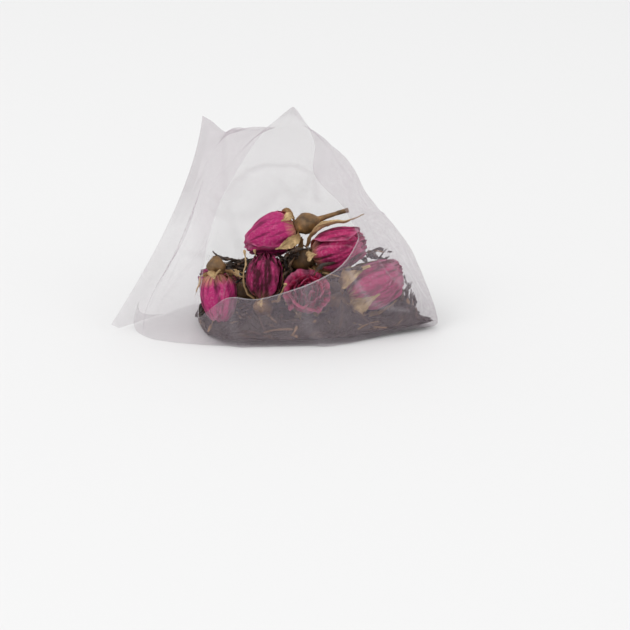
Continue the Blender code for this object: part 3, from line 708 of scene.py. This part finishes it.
def hull_of(bud):
    """The convex hull of a bud as a tree to search."""
    bm = bmesh.new()
    for node in (f"{bud}_petals", f"{bud}_calyx"):
        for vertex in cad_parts[node].data.vertices:
            bm.verts.new(vertex.co)
    bmesh.ops.convex_hull(bm, input=bm.verts)
    bmesh.ops.delete(bm, geom=[v for v in bm.verts if not v.link_faces], context="VERTS")
    bmesh.ops.recalc_face_normals(bm, faces=bm.faces)
    tree = BVHTree.FromBMesh(bm)
    bm.free()
    return tree


def signed_distance(tree, point):
    """How far a point lies outside a convex hull, negative inside it."""
    found, facing, _, away = tree.find_nearest(point)
    return away if (point - found).dot(facing) > 0 else -away


def drape(rings, keep_off):
    """Lifts the sheet off the buds, and spreads each lift over the sheet round it."""
    hulls = [hull_of(bud) for bud in BUDS]
    normals = ring_normals(rings)
    lifts = np.zeros(rings.shape[:2])
    first = FIN_RINGS + 1
    turns, kept_share = 12, 0.98
    for turn in range(turns):
        if turn < turns // 2:
            spread = (np.roll(lifts, 1, 1) + np.roll(lifts, -1, 1)) / 4
            spread[1:-1] += (lifts[2:] + lifts[:-2]) / 4
            lifts = np.maximum(lifts, spread * kept_share)
        for j in range(first, len(rings)):
            for i in range(rings.shape[1]):
                point = Vector(rings[j, i] + normals[j, i] * lifts[j, i])
                nearest = min(signed_distance(hull, point) for hull in hulls)
                lifts[j, i] += max(0.0, keep_off - nearest)
        if lifts.max() == 0.0:
            break
    lifts[:first] = 0.0
    return rings + normals * lifts[..., None]


def add_piece(name, mesh, materials, smooth_angle=60):
    """A mesh as a piece that rides on the bag's body."""
    for material in materials:
        mesh.materials.append(material)
    mesh.shade_smooth()
    mesh.set_sharp_from_angle(angle=math.radians(smooth_angle))
    piece = bpy.data.objects.new(name, mesh)
    bpy.context.scene.collection.objects.link(piece)
    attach(piece, "root")
    return piece


def mesh_of(bm, name):
    """What was built in mesh code, as a mesh."""
    mesh = bpy.data.meshes.new(name)
    bm.to_mesh(mesh)
    bm.free()
    return mesh


def ring_faces(rings, count):
    """Quads between closed rings of vertices that are numbered one ring after another."""
    faces = []
    for j in range(rings - 1):
        for i in range(count):
            k = (i + 1) % count
            faces.append((j * count + i, j * count + k, (j + 1) * count + k, (j + 1) * count + i))
    return faces


class TEABAG_OT_mesh(bpy.types.Operator):
    """Make the nylon mesh bag"""

    bl_idname = "teabag.mesh"
    bl_label = "Mesh Bag"

    def execute(self, context):
        settings = context.scene.teabag_mesh
        rings, fold, density = crease(tube_rings(settings), settings)
        rings = drape(rings, settings.clearance + PETAL_ROOM)
        rings[..., 2] = np.maximum(rings[..., 2], BASE_HEIGHT)
        count = rings.shape[1]
        round_it = np.linalg.norm(np.roll(rings, -1, axis=1) - rings, axis=2).sum(axis=1)
        along = np.linalg.norm(np.diff(rings, axis=0), axis=2).mean(axis=1)
        length_at = np.concatenate([[0.0], np.cumsum(along)])
        width, length = round_it[FIN_RINGS:].mean(), length_at[-1]
        mesh = bpy.data.meshes.new("nylon_mesh")
        mesh.from_pydata([tuple(p) for p in rings.reshape(-1, 3)], [], ring_faces(len(rings), count))
        layer = mesh.uv_layers.new(name="cloth")
        for face in mesh.polygons:
            for loop in face.loop_indices:
                j, i = divmod(mesh.loops[loop].vertex_index, count)
                if i == 0 and face.vertices[0] % count == count - 1:
                    i = count
                layer.data[loop].uv = (width * i / count, length_at[j])
        # The sheet attribute carries the fold tops' painted highlight and denser weave, and the density
        tone = mesh.color_attributes.new(name="sheet", type="FLOAT_COLOR", domain="POINT")
        looks = np.stack([fold, density, fold, fold], axis=-1)
        tone.data.foreach_set("color", looks.ravel().astype(np.float32))
        piece = add_piece("nylon_mesh", mesh, [mesh_material(settings, length)])
        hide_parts("mesh_bag")
        return {"FINISHED"}


def long_axis(points):
    """The middle of some points, and the direction in which they reach furthest."""
    middle = points.mean(axis=0)
    return middle, np.linalg.eigh(np.cov((points - middle).T))[1][:, 2]


def bud_place(name):
    """The matrix from a bud's own frame, foot at the origin and tip up, and its half width and length."""
    foot_slice, tip_slice = 0.0002, 0.0004
    points = node_points(f"{name}_petals")
    middle, axis = long_axis(points)
    if axis.dot(middle - node_points(f"{name}_calyx").mean(axis=0)) < 0:
        axis = -axis
    heights = (points - middle).dot(axis)
    foot = points[heights < heights.min() + foot_slice].mean(axis=0)
    tip = points[heights > heights.max() - tip_slice].mean(axis=0)
    axis = Vector(tip - foot).normalized()
    beside = (points - foot) - np.outer((points - foot).dot(axis), axis)
    half_width = np.linalg.norm(beside, axis=1).max()
    roll = math.radians(BUDS[name].roll)
    turn = axis.to_track_quat("Z", "Y").to_matrix().to_4x4() @ Matrix.Rotation(roll, 4, "Z")
    return Matrix.Translation(foot) @ turn, half_width, heights.max() - heights.min()


def outline_at(share):
    """Half width of a bud, as a share, at a share of its length."""
    for i, ((low, low_width), (high, high_width)) in enumerate(zip(BUD_OUTLINE, BUD_OUTLINE[1:])):
        if share <= high:
            before = BUD_OUTLINE[max(i - 1, 0)][1]
            after = BUD_OUTLINE[min(i + 2, len(BUD_OUTLINE) - 1)][1]
            return curve_point(before, low_width, high_width, after, (share - low) / (high - low))
    return BUD_OUTLINE[-1][1]


def ease(low, high, value):
    """Rises smoothly from 0 to 1 as a value goes from low to high."""
    share = min(1.0, max(0.0, (value - low) / (high - low)))
    return share * share * (3 - 2 * share)


def petal_points(draw, layer, angle, look, seed):
    """The grid of one petal, in half widths and lengths, and how each point stands out.

    Layer runs from 0, the innermost, to 1, the outermost.
    """
    opened = look.opened
    crumple = 0.45 + 1.1 * look.age + 0.9 * opened
    reach = (0.85 + 0.45 * layer) * draw.uniform(0.85, 1.1)
    height = 1.0 - (0.10 + 0.16 * opened + 0.16 * look.age) * layer * draw.uniform(0.1, 1.0)
    curl = (0.02 + 0.12 * layer) * draw.uniform(0.2, 1.5) * (0.25 + 1.5 * opened) + opened * 0.30 * layer
    wrap = 0.30 + 0.68 * layer
    lift = draw.uniform(0.04, 0.13) * (0.4 + 0.6 * layer)
    points, ridges = [], []
    for row in range(PETAL_ROWS + 1):
        up = row / PETAL_ROWS
        for column in range(PETAL_COLUMNS + 1):
            across = 2 * column / PETAL_COLUMNS - 1
            rise = up * height * (1 - 0.20 * abs(across) ** 3)
            full = min(rise, 1.0) ** (1 - 0.34 * look.belly)
            radius = outline_at(full) * wrap * (1 + 0.13 * look.belly)
            radius += opened * ease(0.40, 1.0, rise) * (0.04 + 0.24 * layer)
            width = reach * (0.55 + 0.45 * ease(0.0, 0.45, up))
            turn = angle + across * width + 0.6 * up * (1 - opened)
            x, y = math.cos(turn), math.sin(turn)
            broad = noise.noise(Vector((x * 2.2, y * 2.2, rise * 1.1 + seed)))
            ridge = noise.noise(Vector((x * 5.5, y * 5.5, rise * 1.3 + seed * 2)))
            crinkle = noise.noise(Vector((x * 11.0 + rise, y * 11.0, rise * 4.0 + seed * 3)))
            wave = noise.noise(Vector((across * 3.4, up * 2.5, seed))) * ease(0.72, 1.0, up)
            side = ease(0.72, 1.0, across) + 0.4 * ease(0.8, 1.0, -across)
            fold = (0.060 * ridge + 0.030 * crinkle) * crumple * (1 - 0.6 * ease(0.78, 0.98, rise))
            body = 0.07 * broad + fold
            edge = lift * side + curl * ease(0.78, 1.0, up) ** 2 + 0.09 * wave
            radius += body * ease(0.0, 0.2, rise) + edge
            points.append(Vector((radius * x, radius * y, rise + 0.04 * wave)))
            # How far the petal stands out here, which the petal material turns into painted light on the
            # ridges and painted shade in the creases
            ridges.append(0.5 + 1.1 * ridge + 0.8 * crinkle + 0.4 * broad)
    return points, ridges


def petals_mesh(name, half_width, length, look, settings):
    """The wrapped petals of one bud, foot at the origin and tip up."""
    seed_step, vein_shift = 1.7, 0.37
    columns, rows = PETAL_COLUMNS, PETAL_ROWS
    draw = random.Random(look.seed)
    bm = bmesh.new()
    unwrapped = bm.loops.layers.uv.new("petal")
    tone = bm.verts.layers.float_color.new("tone")
    for k in range(settings.petals):
        layer = k / (settings.petals - 1)
        shade = draw.random()
        points, ridges = petal_points(draw, layer, k * PETAL_TURN, look, look.seed + k * seed_step)
        verts = [bm.verts.new((p.x * half_width, p.y * half_width, p.z * length)) for p in points]
        for n, vert in enumerate(verts):
            row, column = divmod(n, columns + 1)
            rim = max(ease(0.88, 1.0, row / rows), ease(0.86, 1.0, abs(2 * column / columns - 1)))
            vert[tone] = (shade, min(1.0, max(0.0, ridges[n])), rim, 1.0)
        for row in range(rows):
            for column in range(columns):
                a = row * (columns + 1) + column
                corners = (a, a + 1, a + columns + 2, a + columns + 1)
                face = bm.faces.new([verts[c] for c in corners])
                for loop, c in zip(face.loops, corners):
                    r, q = divmod(c, columns + 1)
                    loop[unwrapped].uv = (q / columns + k * vein_shift, r / rows)
    bmesh.ops.solidify(bm, geom=bm.faces[:], thickness=settings.petal_thickness)
    return mesh_of(bm, name)


def tube(
    bm, path, radii, sides, unwrapped=None, flatness=None, material=0, turn=0.0, fold=0.0, outwards=None,
):
    """A closed tube along a path, with a half width at each point, flattened across one direction."""
    rings = []
    count = len(path)
    for j, point in enumerate(path):
        ahead = path[min(j + 1, count - 1)] - path[max(j - 1, 0)]
        ahead.normalize()
        up = outwards[j] if outwards else Vector((0, 0, 1)) if abs(ahead.z) < 0.9 else Vector((1, 0, 0))
        side = ahead.cross(up).normalized()
        up = side.cross(ahead).normalized()
        spin = Matrix.Rotation(turn * j / count, 3, ahead)
        side, up = spin @ side, spin @ up
        flat = flatness[j] if flatness else 1.0
        ring = []
        for i in range(sides):
            angle = 2 * math.pi * i / sides
            x, y = math.cos(angle), math.sin(angle)
            rise = y * radii[j] * flat + fold * abs(x) * radii[j]
            ring.append(bm.verts.new(point + side * x * radii[j] + up * rise))
        rings.append(ring)
    faces = []
    for first, second in zip(rings, rings[1:]):
        for i in range(sides):
            k = (i + 1) % sides
            faces.append(bm.faces.new((first[i], first[k], second[k], second[i])))
    faces.append(bm.faces.new(rings[0][::-1]))
    faces.append(bm.faces.new(rings[-1]))
    for face in faces:
        face.material_index = material
    if unwrapped:
        place = {
            vert: (2 * abs(i / sides - 0.5), j / count)
            for j, ring in enumerate(rings) for i, vert in enumerate(ring)}
        for face in faces:
            for loop in face.loops:
                loop[unwrapped].uv = place[loop.vert]
    return rings


def shrivel(bm, rings, height, scale, seed):
    """Moves the vertices of some rings in and out like shrivelled skin."""
    bm.normal_update()
    for vert in itertools.chain(*rings):
        rough = noise.noise(vert.co * scale + Vector((seed, 0, 0)))
        fine = noise.noise(vert.co * scale * 2.7 + Vector((0, seed, 0)))
        vert.co += vert.normal * height * (rough + 0.5 * fine)


def sepal_route(half_width, length, sepal, angle, draw):
    """The path of one sepal from the hip along the petals, and its outward directions."""
    reach, curl, _, _ = sepal
    steps, sink = 22, 0.0004
    path, outwards = [], []
    sway = draw.uniform(-0.25, 0.25)
    for j in range(steps + 1):
        along = j / steps
        share = SEPAL_REACH * reach * along
        hug = 1 - ease(0.45, 1.0, along) * min(1.0, curl * 3)
        radius = max(0.42 + 0.4 * ease(0.0, 0.12, along), outline_at(min(share, 1.0))) + 0.11
        radius += curl * 2.2 * along ** 2.2 + draw.uniform(-0.008, 0.008)
        height = length * (share * hug + (1 - hug) * share * 0.8) - sink
        turn = angle + sway * along ** 1.5
        out = Vector((math.cos(turn), math.sin(turn), 0))
        path.append(out * radius * half_width + Vector((0, 0, height)))
        outwards.append(out)
    return path, outwards


def add_hip(bm, half_width, scale, look, settings):
    """The hip of one bud, with its collar. Returns how long it is."""
    hip_half = settings.hip_width / 2 * scale
    hip_length = settings.hip_length * scale * look.hip_share
    collar = half_width * COLLAR_SHARE
    path = [Vector((0, 0, -hip_length * (1 - z))) for _, z in HIP_OUTLINE]
    path += [Vector((0, 0, -hip_length * 0.04)), Vector((0, 0, 0.0001))]
    radii = [r * hip_half for r, _ in HIP_OUTLINE] + [collar, collar * 0.9]
    shrivel(bm, tube(bm, path, radii, sides=28), height=0.00035 * scale, scale=480, seed=look.seed)
    return hip_length


def add_stem(bm, hip_length, look, settings, draw):
    """The stump of stem at the end of a hip, which it enters a little."""
    steps, inside = 12, 0.0004
    bend = draw.uniform(-0.12, 0.12)
    long = look.stem / 1000 + 0.0006
    path, radii = [], []
    for step in range(steps + 1):
        along = step / steps
        path.append(Vector((bend * long * along ** 2, 0, -hip_length - long * step / steps + inside)))
        shape = 1.35 - 0.35 * ease(0, 0.3, along) + 0.12 * ease(0.85, 1, along)
        radii.append(settings.stem_width / 2 * shape)
    shrivel(bm, tube(bm, path, radii, sides=10), height=0.00012, scale=900, seed=look.seed + 5)


def add_sepal(bm, unwrapped, half_width, length, scale, sepal, k, look, settings, draw):
    """One sepal, a folded leaf or a thin string with a knob at its end."""
    _, _, width, string = sepal
    angle = math.radians(360 / len(look.sepals) * k + FIRST_SEPAL)
    route, outwards = sepal_route(half_width, length, sepal, angle, draw)
    radii = []
    for j in range(len(route)):
        along = j / (len(route) - 1)
        shape = 0.55 + 0.45 * ease(0.0, 0.25, along) - 0.86 * ease(0.3, 0.92, along)
        if string:
            knob = 1.3 * ease(0.92, 0.97, along) * (1.6 - 1.2 * along)
            shape = 1.0 - 0.35 * ease(0.0, 0.6, along) + knob
        radii.append(settings.sepal_width / 2 * scale * width * max(shape, 0.12) * draw.uniform(0.88, 1.12))
    flatness = [0.75 if string else min(0.9, HALF_SEPAL / r) for r in radii]
    fold = 0.0 if string else draw.uniform(0.35, 0.8)
    turn = draw.uniform(-0.7, 0.7)
    leaf = tube(bm, route, radii, 12, unwrapped, flatness, 1, turn, fold, outwards)
    shrivel(bm, leaf, height=0.00016, scale=1000, seed=look.seed + k)


def calyx_mesh(name, half_width, length, look, settings):
    """The hip, stem and five sepals of one bud."""
    draw = random.Random(look.seed + 100)
    scale = half_width / USUAL_HALF_WIDTH
    bm = bmesh.new()
    unwrapped = bm.loops.layers.uv.new("leaf")
    hip_length = add_hip(bm, half_width, scale, look, settings)
    add_stem(bm, hip_length, look, settings, draw)
    for k, sepal in enumerate(look.sepals):
        add_sepal(bm, unwrapped, half_width, length, scale, sepal, k, look, settings, draw)
    # Each vertex carries the bud's painted shade for its hip
    tone = bm.verts.layers.float_color.new("tone")
    for vert in bm.verts:
        vert[tone] = (look.hip_shade, 0, 0, 1)
    return mesh_of(bm, name)


class TEABAG_OT_rosebuds(bpy.types.Operator):
    """Make the dried rosebuds"""

    bl_idname = "teabag.rosebuds"
    bl_label = "Rosebuds"

    def execute(self, context):
        settings = context.scene.teabag_roses
        width_share = 0.97
        skins = [hip_material(settings), sepal_material(settings)]
        for name, look in BUDS.items():
            foot_reach = 0.36 - 0.16 * look.belly
            petal = petal_material(f"dried_petals_of_{name}", settings, look.age, look.redness, foot_reach)
            matrix, half_width, length = bud_place(name)
            petals = petals_mesh(f"{name}_wrapped_petals", half_width * width_share, length, look, settings)
            calyx = calyx_mesh(f"{name}_hip_and_sepals", half_width, length, look, settings)
            petals.transform(matrix)
            calyx.transform(matrix)
            piece = add_piece(f"{name}_wrapped_petals", petals, [petal], smooth_angle=70)
            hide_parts(f"{name}_petals")
            piece = add_piece(f"{name}_hip_and_sepals", calyx, skins, smooth_angle=70)
            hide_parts(f"{name}_calyx")
        return {"FINISHED"}


def shred(bm, tone, middle, heading, up, length, width, draw):
    """One twisted shred of tea."""
    steps, sides = 9, 6
    side = heading.cross(up).normalized()
    bend, lift = draw.uniform(-0.3, 0.3), draw.uniform(-0.1, 0.2)
    path, radii = [], []
    for j in range(steps + 1):
        along = j / steps - 0.5
        arc = 0.25 - along * along
        spot = middle + heading * along * length + side * arc * bend * length + up * arc * lift * length
        path.append(spot)
        taper = 0.45 + 0.55 * math.sin(math.pi * (along + 0.5)) ** 0.6
        radii.append(width / 2 * taper * draw.uniform(0.75, 1.2))
    flat = [draw.uniform(0.35, 0.6)] * len(path)
    turn, fold = draw.uniform(2, 7), draw.uniform(0.0, 0.5)
    rings = tube(
        bm, path, radii, sides, flatness=flat, turn=turn, fold=fold, outwards=[up] * len(path))
    shade = draw.random()
    for vert in itertools.chain(*rings):
        vert[tone] = (shade, 0, 0, 1)


def clear_line(bag, hulls, start, end):
    """Whether a straight line crosses no wall of the bag, keeps off it and stays out of the hulls."""
    way = end - start
    if bag.ray_cast(start - way * 0.1, way, way.length * 1.2)[0]:
        return False
    spots = [start + way * share for share in (0.0, 0.25, 0.5, 0.75, 1.0)]
    if min(bag.find_nearest(spot)[3] for spot in spots) < WALL_CLEARANCE:
        return False
    return not hulls or min(signed_distance(hull, spot) for hull in hulls for spot in spots) > 0.0


def clad_faces(mesh):
    """The triangles of a mesh that look up or sideways."""
    mesh.calc_loop_triangles()
    return [t for t in mesh.loop_triangles if t.normal.z > CLAD_FROM]


class TEABAG_OT_tea(bpy.types.Operator):
    """Make the heap of black tea and the loose leaves on it"""

    bl_idname = "teabag.tea"
    bl_label = "Black Tea"

    def execute(self, context):
        settings = context.scene.teabag_tea
        material = tea_material(settings)
        draw = random.Random(41)
        bm = bmesh.new()
        tone = self.ground(bm)
        bag = search_tree("mesh_bag")
        self.cladding(bm, tone, bag, settings, draw)
        self.clumps(bm, tone, bag, settings, draw)
        piece = add_piece("tea_heap", mesh_of(bm, "tea_heap"), [material], smooth_angle=50)
        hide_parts("tea_leaf_bed")
        for name in sorted(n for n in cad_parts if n.startswith("tea_leaf_") and n != "tea_leaf_bed"):
            self.loose_leaf(name, material, settings, draw)
        return {"FINISHED"}

    def ground(self, bm):
        """The heap's own solid with its top lowered unevenly, to make room for the shreds."""
        lowered, uneven = 0.0006, 0.0004
        bm.from_mesh(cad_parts["tea_leaf_bed"].data)
        bmesh.ops.remove_doubles(bm, verts=bm.verts, dist=0.00001)
        bmesh.ops.subdivide_edges(bm, edges=bm.edges[:], cuts=1, use_grid_fill=True)
        tone = bm.verts.layers.float_color.new("tone")
        bm.normal_update()
        for vert in bm.verts:
            vert[tone] = (0.2, 0, 0, 1)
            if vert.normal.z > 0.2:
                vert.co.z -= lowered + uneven * noise.noise(vert.co * 600)
        return tone

    def cladding(self, bm, tone, bag, settings, draw):
        """Shreds that lie on the heap: any way round on its top, and shorter and level on its sides."""
        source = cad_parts["tea_leaf_bed"].data
        heap = search_tree("tea_leaf_bed")
        faces = clad_faces(source)
        for face in draw.choices(faces, [f.area for f in faces], k=settings.shreds):
            a, b, c = (source.vertices[v].co for v in face.vertices)
            u, v = draw.random(), draw.random()
            if u + v > 1:
                u, v = 1 - u, 1 - v
            normal = Vector(face.normal)
            side = normal.z < SIDE_UNTIL
            turns, outs, share = SIDE_LAY if side else TOP_LAY
            level = normal.cross(Vector((0, 0, 1))) if side else b - a
            heading = (Matrix.Rotation(draw.uniform(*turns), 3, normal) @ level).normalized()
            spot = a + (b - a) * u + (c - a) * v + normal * draw.uniform(*outs)
            length = settings.length * draw.uniform(0.35, 1.2) * share
            ends = spot - heading * length / 2, spot + heading * length / 2
            stray = max(heap.find_nearest(end)[3] for end in ends)
            if stray < settings.stray and clear_line(bag, (), *ends):
                width = settings.width * draw.uniform(0.5, 1.25)
                shred(bm, tone, spot, heading, normal, length, width, draw)

    def clumps(self, bm, tone, bag, settings, draw):
        """Shreds caught between the buds and against the wall of the bag."""
        hulls = [hull_of(bud) for bud in BUDS]
        for middle, spread, count, share, lie in CLUMPS:
            for _ in range(count):
                spot = Vector([draw.gauss(m, s) / 1000 for m, s in zip(middle, spread)])
                stray = Vector([draw.gauss(0, 1) for _ in range(3)])
                heading = (stray if lie is None else Vector(lie) + stray * 0.3).normalized()
                length = settings.length * share * draw.uniform(0.5, 1.5)
                ends = spot - heading * length / 2, spot + heading * length / 2
                if clear_line(bag, (), HEAP_MIDDLE, spot) and clear_line(bag, hulls, *ends):
                    up = heading.orthogonal().normalized()
                    width = settings.width * draw.uniform(0.5, 1.1)
                    shred(bm, tone, spot, heading, up, length, width, draw)

    def loose_leaf(self, name, material, settings, draw):
        """A fine twisted leaf where a plain one lies."""
        slices, steps, overlap, width_share = 5, 6, 1e-6, 0.62
        points = node_points(name)
        middle, axis = long_axis(points)
        reach = (points - middle).dot(axis)
        cuts = np.linspace(reach.min(), reach.max(), slices + 1)
        keys = []
        for low, high in zip(cuts, cuts[1:]):
            inside = points[(reach >= low - overlap) & (reach <= high + overlap)]
            keys.append(Vector(inside.mean(axis=0)))
        path = smooth_path(keys, steps)
        radii = []
        for j in range(len(path)):
            taper = 0.3 + 0.7 * math.sin(math.pi * (j + 1) / (len(path) + 1))
            radii.append(settings.width * width_share * taper * draw.uniform(0.8, 1.2))
        bm = bmesh.new()
        tone = bm.verts.layers.float_color.new("tone")
        rings = tube(bm, path, radii, sides=8, flatness=[0.5] * len(path), turn=5.0, fold=0.35)
        shrivel(bm, rings, height=0.0002, scale=1100, seed=draw.uniform(0, 50))
        for vert in bm.verts:
            vert[tone] = (draw.uniform(0.5, 0.9), 0, 0, 1)
        piece_name = name.replace("tea_leaf", "loose_leaf")
        piece = add_piece(piece_name, mesh_of(bm, piece_name), [material], smooth_angle=50)
        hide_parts(name)


class TEABAG_OT_stage(bpy.types.Operator):
    """Set the floor, the lights and the camera"""

    bl_idname = "teabag.stage"
    bl_label = "Stage"

    def execute(self, context):
        settings = context.scene.teabag_stage
        scene = context.scene
        mesh = bpy.data.meshes.new("floor")
        half = settings.floor_width / 2
        corners = [(-half, -half, 0), (half, -half, 0), (half, half, 0), (-half, half, 0)]
        mesh.from_pydata(corners, [], [(0, 1, 2, 3)])
        mesh.materials.append(floor_material(settings))
        floor = bpy.data.objects.new("floor", mesh)
        scene.collection.objects.link(floor)
        self.light("key_light", place=(-1.8, -1.4, 2.6), size=1.8, power=46.0)
        self.light("fill_light", place=(2.2, -1.8, 1.6), size=2.4, power=15.0)
        world = bpy.data.worlds.new("soft_room")
        world.use_nodes = True
        background = world.node_tree.nodes["Background"]
        background.inputs["Color"].default_value = (1.0, 1.0, 1.0, 1.0)
        background.inputs["Strength"].default_value = 0.96
        scene.world = world
        scene.view_settings.view_transform = "Standard"
        self.camera(scene, settings)
        return {"FINISHED"}

    def light(self, name, place, size, power):
        """A soft square light that looks at the bag."""
        data = bpy.data.lights.new(name, "AREA")
        data.size = size
        data.energy = power
        light = bpy.data.objects.new(name, data)
        light.location = place
        light.rotation_euler = Vector(place).to_track_quat("Z", "Y").to_euler()
        bpy.context.scene.collection.objects.link(light)

    def camera(self, scene, settings):
        """The camera at the photograph's angle, with the bag where the photograph has it."""
        frame_width = 630
        origin_pixel = Vector((285, 318))
        data = bpy.data.cameras.new("camera")
        data.sensor_width = 36.0
        data.lens = data.sensor_width * settings.distance / (frame_width * settings.pixel)
        data.clip_start = 0.01
        back = Vector((0, -math.cos(settings.elevation), math.sin(settings.elevation)))
        off = (Vector((frame_width / 2, frame_width / 2)) - origin_pixel) * settings.pixel
        target = Vector((off.x, 0, -off.y / math.cos(settings.elevation)))
        camera = bpy.data.objects.new("camera", data)
        camera.location = target + back * settings.distance
        camera.rotation_euler = back.to_track_quat("Z", "Y").to_euler()
        scene.collection.objects.link(camera)
        scene.camera = camera


class TEABAG_PT_panel(bpy.types.Panel):
    """Lists the pieces of the tea bag"""

    bl_idname = "TEABAG_PT_panel"
    bl_label = "Tea Bag"
    bl_space_type = "VIEW_3D"
    bl_region_type = "UI"
    bl_category = "Tea Bag"

    def draw(self, context):
        for group, operator in (
            ("teabag_mesh", "teabag.mesh"), ("teabag_roses", "teabag.rosebuds"),
            ("teabag_tea", "teabag.tea"), ("teabag_stage", "teabag.stage"),
        ):
            box = self.layout.box()
            settings = getattr(context.scene, group)
            for name in settings.__annotations__:
                box.prop(settings, name)
            box.operator(operator)


CLASSES = (
    MeshSettings, RoseSettings, TeaSettings, StageSettings, TEABAG_OT_mesh, TEABAG_OT_rosebuds,
    TEABAG_OT_tea, TEABAG_OT_stage, TEABAG_PT_panel,
)
GROUPS = {
    "teabag_mesh": MeshSettings, "teabag_roses": RoseSettings, "teabag_tea": TeaSettings,
    "teabag_stage": StageSettings,
}


def register():
    for cls in CLASSES:
        bpy.utils.register_class(cls)
    for name, group in GROUPS.items():
        setattr(bpy.types.Scene, name, PointerProperty(type=group))


def unregister():
    for name in GROUPS:
        delattr(bpy.types.Scene, name)
    for cls in reversed(CLASSES):
        bpy.utils.unregister_class(cls)


def main():
    register()
    bpy.ops.teabag.stage()
    bpy.ops.teabag.tea()
    bpy.ops.teabag.rosebuds()
    bpy.ops.teabag.mesh()


if __name__ == "__main__":
    main()
